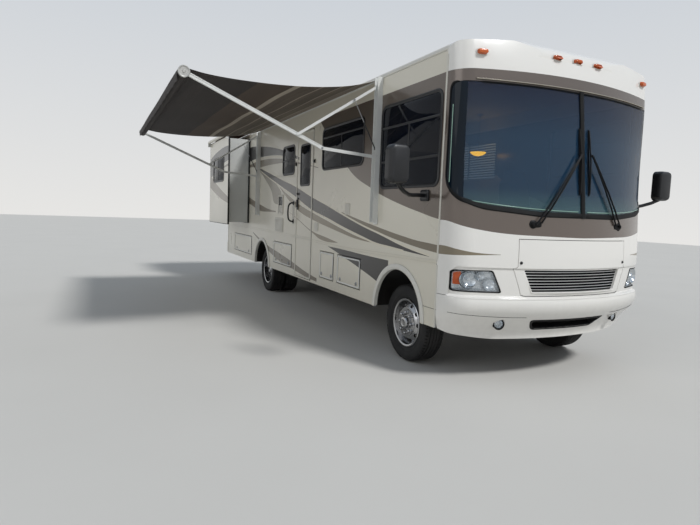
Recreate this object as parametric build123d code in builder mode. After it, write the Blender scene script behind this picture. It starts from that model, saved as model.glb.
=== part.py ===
"""Class A motorhome with its patio awning run out and its bedroom room slid out.

Millimetres. X runs across with the driver's side positive, the front looks along -Y and Z is up.
Sizes are counted from the centre line, the front axle and the ground, and each finished piece is
then moved so that the middle of the whole footprint is the origin.
"""
import os
from math import atan2, cos, hypot, radians, sin, sqrt

from build123d import *

os.makedirs("parts", exist_ok=True)

# Whole coach
BODY_WIDTH = 2565.0
HALF = BODY_WIDTH / 2
WHEELBASE = 5150.0
FRONT_SEAM_Y = -710.0
REAR_SEAM_Y = 8060.0
REAR_Y = 8200.0
SKIRT_Z = 520.0
SKIRT_THICK = 30.0
FLOOR_TOP_Z = 1130.0
FLOOR_THICK = 60.0
WALL_THICK = 45.0
WALL_TOP_Z = 3090.0
ROOF_EDGE_Z = 3157.0
ROOF_CROWN_Z = 3215.0
ROOF_THICK = 55.0
ROOF_FLAT_X = 640.0
RIGHT = -1
LEFT = 1

# Where the middle of the footprint lies, counted from the front axle's middle
CENTRE_X = -796.0
CENTRE_Y = 3523.0

# Running gear
TYRE_RADIUS = 419.0
TYRE_WIDTH = 245.0
RIM_RADIUS = 248.0
TYRE_X = 1050.0
DUAL_SPACING = 275.0
KINGPIN_X = 900.0
PIN_GAP = 0.5
RAIL_X = 432.0
RAIL_Z = (650.0, 856.0)
RAIL_FLANGE = 76.0
RAIL_WEB = 8.0

# Front moulding: height, distance of its nose, radius of the big bow and radius of the corner
CAP_SECTIONS = (
    (860.0, -1250.0, 2600.0, 300.0),
    (1480.0, -1245.0, 2600.0, 300.0),
    (2300.0, -1160.0, 3000.0, 240.0),
    (2860.0, -1090.0, 4000.0, 220.0),
    (3280.0, -985.0, 5000.0, 170.0),
)
BUMPER_SECTIONS = (
    (430.0, -1060.0, 2600.0, 300.0),
    (560.0, -1120.0, 2600.0, 300.0),
    (700.0, -1250.0, 2600.0, 300.0),
    (856.0, -1275.0, 2600.0, 300.0),
)
BUMPER_LEDGE_Y = -1000.0
BUMPER_LEDGE_THICK = 20.0
BUMPER_CURL = ((-1120.0, 405.0), (-860.0, 452.0), (-700.0, 520.0))
CAP_RECESS_DEPTH = 13.0
CAP_RECESS = ((1215, 1134), (1252, 1085), (1252, 840))
SIDE_REACH = 1400.0
HIGH_Z = 3400.0
ACROSS = (-SIDE_REACH, SIDE_REACH)
BEHIND_FRONT = (FRONT_SEAM_Y, 0.0)
ALL_HEIGHTS = (0.0, HIGH_Z)
CAP_THICK = 25.0
CAP_BACK_Y = -350.0
PANEL_GAP = 6.0

# Side openings: front edge, rear edge, lower edge, upper edge
CAB_WINDOW = (-650.0, 470.0, 1885.0, 2752.0)
SOFA_WINDOW = (940.0, 2200.0, 2185.0, 2727.0)
GALLEY_WINDOW = (3400.0, 3970.0, 2190.0, 2630.0)
REAR_WINDOW = (6500.0, 7300.0, 2170.0, 2660.0)
DINETTE_WINDOW = (1500.0, 2760.0, 2185.0, 2727.0)
LOUNGE_WINDOW = (3300.0, 4300.0, 2190.0, 2630.0)
DOOR = (2560.0, 3250.0, 550.0, 2800.0)
DOOR_WINDOW = (2690.0, 3080.0, 1984.0, 2590.0)
DOOR_GAP = 8.0
WINDOW_CORNER = 70.0

# Storage bay doors on each side: front edge, rear edge, lower edge, upper edge
RIGHT_BAYS = (
    (888.0, 1590.0, 640.0, 1030.0),
    (1700.0, 2200.0, 640.0, 1030.0),
    (3420.0, 4420.0, 640.0, 1030.0),
    (5900.0, 7400.0, 640.0, 1030.0),
)
LEFT_BAYS = (
    (888.0, 2300.0, 640.0, 1030.0),
    (5900.0, 7400.0, 640.0, 1030.0),
)
BAY_GAP = 6.0

# Wheel arches
ARCH_CENTRE_Z = 520.0
FRONT_ARCH_RADIUS = 484.0
REAR_ARCH_RADIUS = 463.0
WELL_CLEARANCE = 34.0
WELL_THICK = 8.0
FLARE_WIDTH = 52.0
FLARE_PROUD = 12.0
ARCHES = (
    # distance behind the front axle, radius of the opening, inner face of its well
    (0.0, FRONT_ARCH_RADIUS, 690.0),
    (WHEELBASE, REAR_ARCH_RADIUS, 610.0),
)

# Bedroom slide-out on the passenger's side, shown run out
SLIDE_OPENING = (6170.0, 7990.0, 1290.0, 3020.0)
SLIDE_TRAVEL = 422.0
SLIDE_FACE_X = 1742.0
SLIDE_FACE_THICK = 30.0
SLIDE_FACE_LAP = 38.0
SLIDE_GAP = 10.0
SLIDE_WALL = 40.0
SLIDE_WINDOW = (6570.0, 7600.0, 2170.0, 2660.0)

# Patio awning, worked out in the plane of one arm: distance from the centre line and height
AWNING_Y = (560.0, 5441.0)
CHANNEL_X = 1330.0
CHANNEL_Z = (1482.0, 3106.0)
CHANNEL_PIVOT = (1330.0, 2229.0)
TOP_PIVOT = (1338.0, 3000.0)
ELBOW = (1976.0, 2272.0)
ARM_JOINT = (2264.0, 2390.0)
ROLLER = (3427.0, 2868.0)
STRUT_FOOT = (1345.0, 2310.0)
STRUT_EYE = (1622.0, 2819.0)
ROLLER_RADIUS = 55.0
FABRIC_THICK = 4.0


def finish(piece, label):
    """Move a finished piece to the footprint's middle and write it."""
    placed = piece.part.moved(Location((-CENTRE_X, -CENTRE_Y, 0)))
    placed.label = label
    export_step(placed, f"parts/{label}.step")


def side_plane(side, x):
    """Plane parallel to a side wall, with Y across and Z up, facing out of the coach."""
    return Plane(origin=(side * x, 0, 0), x_dir=(0, side, 0), z_dir=(side, 0, 0))


def side_rect(side, box, grow=0.0, corner=0.0, mode=Mode.ADD):
    """Rectangle given by its Y and Z edges, on a sketch plane made by side_plane."""
    y0, y1, z0, z1 = box
    width = y1 - y0 + 2 * grow
    height = z1 - z0 + 2 * grow
    with Locations((side * (y0 + y1) / 2, (z0 + z1) / 2)):
        if corner > 0:
            RectangleRounded(width, height, corner, mode=mode)
        else:
            Rectangle(width, height, mode=mode)


def box_between(x, y, z, mode=Mode.ADD):
    """Block between pairs of X, Y and Z."""
    with Locations(((x[0] + x[1]) / 2, (y[0] + y[1]) / 2, (z[0] + z[1]) / 2)):
        Box(abs(x[1] - x[0]), abs(y[1] - y[0]), abs(z[1] - z[0]), mode=mode)


def cap_outline(front_y, bow, corner, inset):
    """Plan outline of the front moulding at one height: sides, two corner arcs and a bow."""
    half = HALF - inset
    nose = front_y + inset
    bow = bow - inset
    corner = corner - inset
    corner_x = half - corner
    bow_y = nose + bow
    corner_y = bow_y - sqrt((bow - corner) ** 2 - corner_x**2)
    angle = atan2(corner_x, bow_y - corner_y)
    meet = (bow * sin(angle), bow_y - bow * cos(angle))
    half_turn = angle / 2 + radians(45)
    middle = (corner_x + corner * sin(half_turn), corner_y - corner * cos(half_turn))
    Line((-half, CAP_BACK_Y), (-half, corner_y))
    ThreePointArc((-half, corner_y), (-middle[0], middle[1]), (-meet[0], meet[1]))
    ThreePointArc((-meet[0], meet[1]), (0, nose), meet)
    ThreePointArc(meet, middle, (half, corner_y))
    Line((half, corner_y), (half, CAP_BACK_Y))
    Line((half, CAP_BACK_Y), (-half, CAP_BACK_Y))


def cap_body(sections, inset):
    """Solid inside the front moulding's outline, between its lowest and highest section."""
    with BuildPart() as body:
        for height, front_y, bow, corner in sections:
            with BuildSketch(Plane.XY.offset(height)):
                with BuildLine():
                    cap_outline(front_y, bow, corner, inset)
                make_face()
        loft()
    return body.part


def crown_body(inset, y0, y1):
    """Solid under the crowned roof, with rounded roof edges, between two places along Y."""
    half = HALF - inset
    edge = ROOF_EDGE_Z - inset
    crown = ROOF_CROWN_Z - inset
    with BuildPart() as body:
        with BuildSketch(Plane(origin=(0, y1, 0), x_dir=(1, 0, 0), z_dir=(0, -1, 0))):
            with BuildLine():
                Line((-half, 0), (half, 0))
                Line((half, 0), (half, edge - 40))
                ThreePointArc((half, edge - 40), (half - 14, edge - 10), (half - 50, edge + 6))
                Polyline(
                    (half - 50, edge + 6),
                    (ROOF_FLAT_X, crown),
                    (-ROOF_FLAT_X, crown),
                    (-half + 50, edge + 6),
                )
                ThreePointArc((-half + 50, edge + 6), (-half + 14, edge - 10), (-half, edge - 40))
                Line((-half, edge - 40), (-half, 0))
            make_face()
        extrude(amount=y1 - y0)
    return body.part


def brow_body(inset):
    """Solid behind the rounded top front edge, as seen from the side."""
    nose = -1300.0
    crown = ROOF_CROWN_Z - inset + 20
    turn = 150.0 - inset
    front = -1016.0 + inset
    with BuildPart() as body:
        with BuildSketch(Plane(origin=(-HALF - 50, 0, 0), x_dir=(0, 1, 0), z_dir=(1, 0, 0))):
            with BuildLine():
                Line((nose, 0), (nose, 3010))
                Line((nose, 3010), (front, 3085 - inset))
                bend = front + turn * (1 - cos(radians(45)))
                rise = 3085 - inset + (crown - 3085 + inset) * sin(radians(45))
                ThreePointArc((front, 3085 - inset), (bend, rise), (front + turn, crown))
                Line((front + turn, crown), (CAP_BACK_Y + 100, crown))
                Line((CAP_BACK_Y + 100, crown), (CAP_BACK_Y + 100, 0))
                Line((CAP_BACK_Y + 100, 0), (nose, 0))
            make_face()
        extrude(amount=2 * HALF + 100)
    return body.part


def cap_solid(inset):
    """Front moulding without its hollow, or the hollow when it is inset."""
    with BuildPart() as solid:
        add(cap_body(CAP_SECTIONS, inset))
        add(crown_body(inset, -1400, FRONT_SEAM_Y + 400), mode=Mode.INTERSECT)
        add(brow_body(inset), mode=Mode.INTERSECT)
    return solid.part


def mirrored(points):
    """Points of one side followed by the same points of the other side."""
    return list(points) + [(-x, z) for x, z in reversed(points)]


FRONT_PLANE = Plane(origin=(0, -1500, 0), x_dir=(1, 0, 0), z_dir=(0, -1, 0))
FRONT_DEPTH = -850.0
WINDSCREEN = ((1224, 2802), (1224, 1835), (1180, 1735), (1030, 1685), (500, 1640))
WINDSCREEN_POST = 14.0
HOOD = ((705, 1405), (709, 1150), (744, 1128), (652, 890), (640, 850))
HOOD_LOW_Z = 876.0
HOOD_HINGE = (-1252.0, 1405.0)
GRILLE = ((640, 1122), (545, 905))
GRILLE_Y = (-1140.0, -1112.0)
GRILLE_BARS = 7
LAMP = ((1238, 1098), (922, 1104), (832, 903), (1238, 908))
LAMP_BACK_Y = -830.0
FOG_LAMP = (775.0, 595.0, 48.0)
FOG_LAMP_Y = -1000.0
FOG_LAMP_DEPTH = 70.0
AIR_SLOT = ((470, 625), (400, 535))


def prism(points):
    """Straight block through the whole front, in the outline's shape as seen from in front."""
    with BuildPart() as block:
        with BuildSketch(FRONT_PLANE):
            with BuildLine():
                Polyline(*points, close=True)
            make_face()
        extrude(amount=FRONT_DEPTH)
    return block.part


def shrunk(points, gap):
    """Same outline drawn in by a gap all round."""
    with BuildPart() as block:
        with BuildSketch(FRONT_PLANE):
            with BuildLine():
                Polyline(*points, close=True)
            make_face()
            offset(amount=-gap, kind=Kind.INTERSECTION, mode=Mode.REPLACE)
        extrude(amount=FRONT_DEPTH)
    return block.part


def bar(start, end, width, height):
    """Straight bar of rectangular section between two points; the height lies nearest to Z."""
    along = Vector(*end) - Vector(*start)
    across = Vector(0, 1, 0) if abs(along.X) + abs(along.Z) > abs(along.Y) else Vector(1, 0, 0)
    with BuildPart() as piece:
        with BuildSketch(Plane(origin=start, x_dir=along.cross(across), z_dir=along)):
            Rectangle(height, width)
        extrude(amount=along.length)
    return piece.part


def bent_rod(points, radius, bend):
    """Round bar along straight runs joined by tangent bends."""
    first = Vector(*points[1]) - Vector(*points[0])
    with BuildPart() as piece:
        with BuildLine():
            FilletPolyline(*points, radius=bend)
        with BuildSketch(Plane(origin=points[0], z_dir=first)):
            Circle(radius)
        sweep()
    return piece.part


def rod(start, end, radius):
    """Round bar between two points."""
    along = Vector(*end) - Vector(*start)
    with BuildPart() as piece:
        with BuildSketch(Plane(origin=start, z_dir=along)):
            Circle(radius)
        extrude(amount=along.length)
    return piece.part


with BuildPart() as lamp_recess:
    add(cap_solid(-CAP_RECESS_DEPTH))
    add(cap_solid(CAP_RECESS_DEPTH), mode=Mode.SUBTRACT)
    add(prism(mirrored(CAP_RECESS)), mode=Mode.INTERSECT)
with BuildPart() as outer_front:
    add(cap_solid(0))
    add(lamp_recess.part, mode=Mode.SUBTRACT)
outer_cap = outer_front.part
inner_cap = cap_solid(CAP_THICK)
lamp_prisms = [prism([(side * x, z) for x, z in LAMP]) for side in (RIGHT, LEFT)]

# Windscreen: two curved panes on either side of a centre post
with BuildPart() as windscreen:
    add(cap_solid(6))
    add(cap_solid(14), mode=Mode.SUBTRACT)
    add(prism(mirrored(WINDSCREEN)), mode=Mode.INTERSECT)
    box_between(ACROSS, BEHIND_FRONT, ALL_HEIGHTS, mode=Mode.SUBTRACT)
    box_between(
        (-WINDSCREEN_POST, WINDSCREEN_POST), (-1400, -600), (1500, 3000), mode=Mode.SUBTRACT
    )
finish(windscreen, "windscreen")

# Wiper spindles pass through square holes in the cap
WIPER_PIVOT = (562.0, 1538.0)
with BuildPart() as wiper_prism:
    with BuildSketch(FRONT_PLANE):
        with Locations((-WIPER_PIVOT[0], WIPER_PIVOT[1]), (WIPER_PIVOT[0], WIPER_PIVOT[1])):
            Rectangle(58, 46)
    extrude(amount=FRONT_DEPTH)

# Head lamps, marker lamps and fog lamps
MARKER_X = (-1069.0, -268.0, 0.0, 268.0, 1069.0)
MARKER_SIZE = (96.0, 34.0)
MARKER_DROP = 46.0
with BuildPart() as marker_prism:
    with BuildSketch(FRONT_PLANE):
        for x in MARKER_X:
            with Locations((x, 3106 - MARKER_DROP * (abs(x) / MARKER_X[-1]) ** 2)):
                RectangleRounded(*MARKER_SIZE, 16)
    extrude(amount=FRONT_DEPTH)

# Front cap: hollow glass-fibre moulding from the bumper's ledge up to the roof
with BuildPart() as front_cap:
    add(outer_cap)
    add(inner_cap, mode=Mode.SUBTRACT)
    box_between(ACROSS, BEHIND_FRONT, ALL_HEIGHTS, mode=Mode.SUBTRACT)
    add(prism(mirrored(WINDSCREEN)), mode=Mode.SUBTRACT)
    add(prism(mirrored(HOOD)), mode=Mode.SUBTRACT)
    add(marker_prism.part, mode=Mode.SUBTRACT)
    add(wiper_prism.part, mode=Mode.SUBTRACT)
    for lamp_prism in lamp_prisms:
        add(lamp_prism, mode=Mode.SUBTRACT)
finish(front_cap, "front_cap")

with BuildPart() as marker_lamps:
    add(cap_solid(-12))
    add(cap_solid(18), mode=Mode.SUBTRACT)
    add(marker_prism.part, mode=Mode.INTERSECT)
    box_between(ACROSS, BEHIND_FRONT, ALL_HEIGHTS, mode=Mode.SUBTRACT)

with BuildPart() as headlamp_body:
    add(cap_solid(CAP_RECESS_DEPTH + 2))
    box_between(ACROSS, (LAMP_BACK_Y, 0), ALL_HEIGHTS, mode=Mode.SUBTRACT)
with BuildPart() as headlamps:
    for lamp_prism in lamp_prisms:
        add(headlamp_body.part.intersect(lamp_prism))
    for side in (RIGHT, LEFT):
        with BuildSketch(Plane(origin=(0, FOG_LAMP_Y, 0), x_dir=(1, 0, 0), z_dir=(0, 1, 0))):
            with Locations((side * FOG_LAMP[0], -FOG_LAMP[1])):
                Circle(FOG_LAMP[2] - 3)
        extrude(amount=FOG_LAMP_DEPTH)
finish(headlamps, "headlamps")

# Hood: service panel hinged along its top edge, with the grille set in its lower half
with BuildPart() as hood_panel:
    add(outer_cap)
    add(inner_cap, mode=Mode.SUBTRACT)
    add(shrunk(mirrored(HOOD), PANEL_GAP), mode=Mode.INTERSECT)
    add(prism(mirrored(GRILLE)), mode=Mode.SUBTRACT)
    box_between(ACROSS, (-SIDE_REACH, 0), (0, HOOD_LOW_Z), mode=Mode.SUBTRACT)
finish(hood_panel, "hood_panel")

# Grille: sleeve behind the hood's opening, and level bars across it
GRILLE_SLEEVE = 6.0
GRILLE_BAR = 12.0
GRILLE_FACE = Plane(origin=(0, GRILLE_Y[0], 0), x_dir=(1, 0, 0), z_dir=(0, -1, 0))
GRILLE_SLEEVE_DEPTH = 110.0


def grille_rim():
    """Sketch of the sleeve round the grille's opening."""
    with BuildSketch(GRILLE_FACE) as rim:
        with BuildLine():
            Polyline(*mirrored(GRILLE), close=True)
        make_face()
        offset(amount=2 * GRILLE_SLEEVE, kind=Kind.INTERSECTION)
        with BuildLine():
            Polyline(*mirrored(GRILLE), close=True)
        make_face(mode=Mode.SUBTRACT)
    return rim.sketch


with BuildPart() as grille:
    extrude(grille_rim(), amount=GRILLE_SLEEVE_DEPTH)
    add(inner_cap, mode=Mode.INTERSECT)
    extrude(grille_rim(), amount=GRILLE_Y[0] - GRILLE_Y[1])
    with BuildSketch(GRILLE_FACE):
        (top_x, top_z), (low_x, low_z) = GRILLE
        for number in range(1, GRILLE_BARS + 1):
            share = number / (GRILLE_BARS + 1)
            with Locations((0, low_z + (top_z - low_z) * share)):
                Rectangle(2 * (low_x + (top_x - low_x) * share + GRILLE_SLEEVE), GRILLE_BAR)
    extrude(amount=GRILLE_Y[0] - GRILLE_Y[1])
finish(grille, "grille")

# Front bumper: hollow moulding under the cap, with an air slot and two fog lamp holes
with BuildPart() as bumper_hollow:
    add(cap_body(BUMPER_SECTIONS, CAP_THICK))
    ledge_z = (BUMPER_SECTIONS[-1][0] - BUMPER_LEDGE_THICK, HIGH_Z)
    box_between(ACROSS, (-SIDE_REACH, BUMPER_LEDGE_Y), ledge_z, mode=Mode.SUBTRACT)
with BuildPart() as front_bumper:
    add(cap_body(BUMPER_SECTIONS, 0))
    add(bumper_hollow.part, mode=Mode.SUBTRACT)
    box_between(ACROSS, BEHIND_FRONT, ALL_HEIGHTS, mode=Mode.SUBTRACT)
    with BuildSketch(Plane(origin=(-SIDE_REACH, 0, 0), x_dir=(0, 1, 0), z_dir=(1, 0, 0))):
        with BuildLine():
            ThreePointArc(*BUMPER_CURL)
            Polyline(BUMPER_CURL[2], (BUMPER_CURL[2][0], 0), (BUMPER_CURL[0][0], 0), BUMPER_CURL[0])
        make_face()
    extrude(amount=2 * SIDE_REACH, mode=Mode.SUBTRACT)
    add(prism(mirrored(AIR_SLOT)), mode=Mode.SUBTRACT)
    for side in (RIGHT, LEFT):
        with BuildSketch(FRONT_PLANE):
            with Locations((side * FOG_LAMP[0], FOG_LAMP[1])):
                Circle(FOG_LAMP[2])
        extrude(amount=FRONT_DEPTH, mode=Mode.SUBTRACT)
finish(front_bumper, "front_bumper")


# Belt moulding: two ribs along the joint of wall and skirt, as (along, height) of their middle line
BELT_LINE = ((-705.0, 1145.0), (1463.0, 1117.0), (3220.0, 1168.0), (5885.0, 1194.0), (8060.0, 1194.0))
BELT_RIB_OFFSETS = (-14.0, 14.0)
BELT_RIB_HALF = 6.0
BELT_RIB_PROUD = 7.0
BELT_DOOR_GAP = (DOOR[0] - DOOR_GAP - 4, DOOR[1] + 70, 1000.0, 1300.0)


def side_wall(side, windows, openings):
    """Laminated side wall above the floor, with its openings cut and its belt moulding."""
    with BuildPart() as wall:
        with BuildSketch(side_plane(side, HALF)):
            side_rect(side, (FRONT_SEAM_Y, REAR_SEAM_Y, FLOOR_TOP_Z, WALL_TOP_Z))
        extrude(amount=-WALL_THICK)
        with BuildSketch(side_plane(side, HALF)):
            for box in windows:
                side_rect(side, box, 0, WINDOW_CORNER)
            for box in openings:
                side_rect(side, box)
        extrude(amount=-WALL_THICK, mode=Mode.SUBTRACT)
        for middle in BELT_RIB_OFFSETS:
            upper = [(side * y, z + middle + BELT_RIB_HALF) for y, z in BELT_LINE]
            lower = [(side * y, z + middle - BELT_RIB_HALF) for y, z in BELT_LINE]
            with BuildSketch(side_plane(side, HALF)):
                with BuildLine():
                    Polyline(*upper, *reversed(lower), close=True)
                make_face()
                if openings:
                    side_rect(side, BELT_DOOR_GAP, mode=Mode.SUBTRACT)
            extrude(amount=BELT_RIB_PROUD)
    return wall


DOOR_HOLE = (DOOR[0] - DOOR_GAP, DOOR[1] + DOOR_GAP, DOOR[2] - DOOR_GAP, DOOR[3] + DOOR_GAP)
RIGHT_WINDOWS = (CAB_WINDOW, SOFA_WINDOW, GALLEY_WINDOW)
LEFT_WINDOWS = (CAB_WINDOW, DINETTE_WINDOW, LOUNGE_WINDOW, REAR_WINDOW)
finish(side_wall(RIGHT, RIGHT_WINDOWS, (DOOR_HOLE, SLIDE_OPENING)), "wall_right")
finish(side_wall(LEFT, LEFT_WINDOWS, ()), "wall_left")


def window_unit(side, x, boxes, frame=26.0, proud=9.0, pane=6.0):
    """Frames standing on a wall at x, each with its dark pane inside the wall's opening."""
    with BuildPart() as unit:
        with BuildSketch(side_plane(side, x)):
            for box in boxes:
                side_rect(side, box, frame, WINDOW_CORNER + frame)
        extrude(amount=proud)
        with BuildSketch(side_plane(side, x + proud)):
            for box in boxes:
                side_rect(side, box, -8, WINDOW_CORNER - 8)
        extrude(amount=-(proud - 2), mode=Mode.SUBTRACT)
        with BuildSketch(side_plane(side, x)):
            for box in boxes:
                side_rect(side, box, 0, WINDOW_CORNER + 6)
        extrude(amount=-pane)
    return unit.part


with BuildPart() as side_windows:
    add(window_unit(RIGHT, HALF, RIGHT_WINDOWS))
    add(window_unit(LEFT, HALF, LEFT_WINDOWS))
finish(side_windows, "side_windows")


def arch_ring(side, x, y, inner, outer):
    """Sketch of a ring round a wheel arch, cut off level with the skirt's lower edge."""
    below = 2 * outer
    with BuildSketch(side_plane(side, x)) as ring:
        with Locations((side * y, ARCH_CENTRE_Z)):
            Circle(outer)
            Circle(inner, mode=Mode.SUBTRACT)
        with Locations((side * y, SKIRT_Z - below / 2)):
            Rectangle(2 * below, below, mode=Mode.SUBTRACT)
    return ring.sketch


def skirt_panel(side, bays, openings):
    """Lower side panel with its wheel arches, flares, wheel wells and bay openings."""
    inner_face = HALF - SKIRT_THICK
    with BuildPart() as panel:
        with BuildSketch(side_plane(side, HALF)):
            side_rect(side, (FRONT_SEAM_Y, REAR_SEAM_Y, SKIRT_Z, FLOOR_TOP_Z))
        extrude(amount=-SKIRT_THICK)
        with BuildSketch(side_plane(side, HALF)):
            for y, radius, _ in ARCHES:
                with Locations((side * y, ARCH_CENTRE_Z)):
                    Circle(radius)
            for box in bays:
                side_rect(side, box)
            for y0, y1, z0, _ in openings:
                side_rect(side, (y0, y1, z0, FLOOR_TOP_Z + 1))
        extrude(amount=-SKIRT_THICK, mode=Mode.SUBTRACT)
        for y, radius, well_x in ARCHES:
            well = radius + WELL_CLEARANCE
            extrude(arch_ring(side, HALF, y, radius, radius + FLARE_WIDTH), amount=FLARE_PROUD)
            extrude(arch_ring(side, inner_face, y, well, well + WELL_THICK), amount=well_x - inner_face)
    return panel


finish(skirt_panel(RIGHT, RIGHT_BAYS, (DOOR_HOLE,)), "skirt_right")
finish(skirt_panel(LEFT, LEFT_BAYS, ()), "skirt_left")

# Roof: crowned shell lying on the side walls
with BuildPart() as roof:
    add(crown_body(0, FRONT_SEAM_Y, REAR_SEAM_Y))
    add(crown_body(ROOF_THICK, FRONT_SEAM_Y, REAR_SEAM_Y), mode=Mode.SUBTRACT)
    box_between(ACROSS, (FRONT_SEAM_Y, REAR_SEAM_Y), (-10, WALL_TOP_Z), mode=Mode.SUBTRACT)
finish(roof, "roof")


# Rear moulding: rounded upright corners, a bevelled top edge and the rear bumper
REAR_DEPTH = 700.0
REAR_CORNER = 110.0
REAR_TOP_EDGE = ((0, 3120), (-20, 3172), (-60, 3205), (-120, 3222), (-140, 3300))
REAR_INNER_X = 1230.0
REAR_BUMPER = (7860.0, 8260.0, 540.0, 760.0)
with BuildPart() as rear_bevel:
    with BuildSketch(Plane(origin=(-1400, 0, 0), x_dir=(0, 1, 0), z_dir=(1, 0, 0))):
        with BuildLine():
            Polyline(
                (REAR_Y - REAR_DEPTH, 0),
                (REAR_Y, 0),
                *[(REAR_Y + y, z) for y, z in REAR_TOP_EDGE],
                (REAR_Y - REAR_DEPTH, REAR_TOP_EDGE[-1][1]),
                close=True,
            )
        make_face()
    extrude(amount=2800)

with BuildPart() as rear_cap:
    with BuildSketch(Plane.XY.offset(SKIRT_Z)):
        with Locations((0, REAR_Y - REAR_DEPTH / 2)):
            RectangleRounded(BODY_WIDTH, REAR_DEPTH, REAR_CORNER)
    extrude(amount=2800)
    add(crown_body(0, REAR_SEAM_Y - 300, REAR_Y + 50), mode=Mode.INTERSECT)
    add(rear_bevel.part, mode=Mode.INTERSECT)
    inner_y = REAR_Y - CAP_THICK
    box_between(
        (-REAR_INNER_X - 8, REAR_INNER_X + 8),
        (REAR_Y - REAR_DEPTH - 1, inner_y),
        (SKIRT_Z - 1, WALL_TOP_Z),
        mode=Mode.SUBTRACT,
    )
    with BuildSketch(Plane.XY.offset(REAR_BUMPER[2])):
        with Locations((0, (REAR_BUMPER[0] + REAR_BUMPER[1]) / 2)):
            RectangleRounded(BODY_WIDTH - 24, REAR_BUMPER[1] - REAR_BUMPER[0], 60)
    extrude(amount=REAR_BUMPER[3] - REAR_BUMPER[2])
    box_between((-REAR_INNER_X, REAR_INNER_X), (7800, 8170), (480, 800), mode=Mode.SUBTRACT)
    box_between(ACROSS, (7000, REAR_SEAM_Y), ALL_HEIGHTS, mode=Mode.SUBTRACT)
finish(rear_cap, "rear_cap")

with BuildPart() as signal_lamps:
    add(marker_lamps.part)
    with BuildSketch(Plane(origin=(0, REAR_Y, 0), x_dir=(-1, 0, 0), z_dir=(0, 1, 0))):
        with Locations((-1060, 1250), (1060, 1250)):
            RectangleRounded(140, 420, 30)
        with Locations((-900, 3080), (-130, 3110), (0, 3110), (130, 3110), (900, 3080)):
            RectangleRounded(90, 34, 16)
    extrude(amount=22)
finish(signal_lamps, "signal_lamps")

# Floor with the entry step well beside the door
WELL_X = 700.0
CAB_FLOOR = ((-800.0, -820.0), (-800.0, -1030.0), (800.0, -1030.0), (800.0, -820.0))
STEP_Z = (560.0, 840.0)
STEP_X = -955.0
STEP_BOARD = 20.0
with BuildPart() as floor:
    with BuildSketch(Plane.XY.offset(FLOOR_TOP_Z)):
        with BuildLine():
            Polyline(
                (-HALF + SKIRT_THICK, REAR_SEAM_Y),
                (-HALF + SKIRT_THICK, FRONT_SEAM_Y + 5),
                *CAB_FLOOR,
                (HALF - SKIRT_THICK, FRONT_SEAM_Y + 5),
                (HALF - SKIRT_THICK, REAR_SEAM_Y),
                close=True,
            )
        make_face()
    extrude(amount=-FLOOR_THICK)
    well_y = (DOOR_HOLE[0], DOOR_HOLE[1])
    low_z, high_z = STEP_Z
    box_between((-SIDE_REACH, -WELL_X), well_y, (high_z, HIGH_Z), mode=Mode.SUBTRACT)
    for y0, y1 in ((well_y[0] - STEP_BOARD, well_y[0]), (well_y[1], well_y[1] + STEP_BOARD)):
        box_between((-HALF + SKIRT_THICK, -WELL_X), (y0, y1), (low_z, FLOOR_TOP_Z))
    back_y = (well_y[0] - STEP_BOARD, well_y[1] + STEP_BOARD)
    box_between((-WELL_X, -WELL_X + STEP_BOARD), back_y, (high_z, FLOOR_TOP_Z))
    box_between((STEP_X - STEP_BOARD, -WELL_X), well_y, (high_z, high_z + STEP_BOARD))
    box_between((STEP_X - STEP_BOARD, STEP_X), well_y, (low_z, high_z + STEP_BOARD))
    box_between((-HALF + WALL_THICK, STEP_X), well_y, (low_z, low_z + STEP_BOARD))
finish(floor, "floor")

# Storage bays: pans and dividers under the floor, open towards their doors
BAY_DEEP_X = 470.0
BAY_PAN_Z = (560.0, 575.0)
BAY_WALL_HALF = 8.0
RIGHT_BLOCKS = ((720.0, 1645.0, 2380.0), (3340.0, 4560.0), (5720.0, 7900.0))
LEFT_BLOCKS = ((720.0, 2380.0), (5720.0, 7900.0))
with BuildPart() as storage_bays:
    for side, blocks in ((RIGHT, RIGHT_BLOCKS), (LEFT, LEFT_BLOCKS)):
        deep = (side * BAY_DEEP_X, side * (HALF - SKIRT_THICK))
        for walls in blocks:
            box_between(deep, (walls[0], walls[-1]), BAY_PAN_Z)
            for y in walls:
                across = (y - BAY_WALL_HALF, y + BAY_WALL_HALF)
                box_between(deep, across, (BAY_PAN_Z[0], FLOOR_TOP_Z - FLOOR_THICK))
finish(storage_bays, "storage_bays")

# Chassis: two channel rails and the cross members between them
CROSS_Y = (-960.0, 900.0, 1900.0, 3200.0, 4400.0, 5900.0, 7400.0, 7950.0)
CROSS_HALF = 30.0
CROSS_TOP_Z = RAIL_Z[0] + 90.0
OUTRIGGER_Z = 960.0
OUTRIGGER_ROOT_Z = (700.0, 1070.0)
OUTRIGGER_X = HALF - 200.0
OUTRIGGER_Y = (670.0, 2400.0, 3290.0, 4580.0, 5670.0, 7920.0)
OUTRIGGER_WIDTH = 30.0
RAIL_Y = (-990.0, 8120.0)
with BuildPart() as frame_rails:
    for side in (RIGHT, LEFT):
        box_between((side * RAIL_X, side * (RAIL_X - RAIL_WEB)), RAIL_Y, RAIL_Z)
        for z in ((RAIL_Z[0], RAIL_Z[0] + RAIL_WEB), (RAIL_Z[1] - RAIL_WEB, RAIL_Z[1])):
            box_between((side * RAIL_X, side * (RAIL_X - RAIL_FLANGE)), RAIL_Y, z)
finish(frame_rails, "frame_rails")

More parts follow.
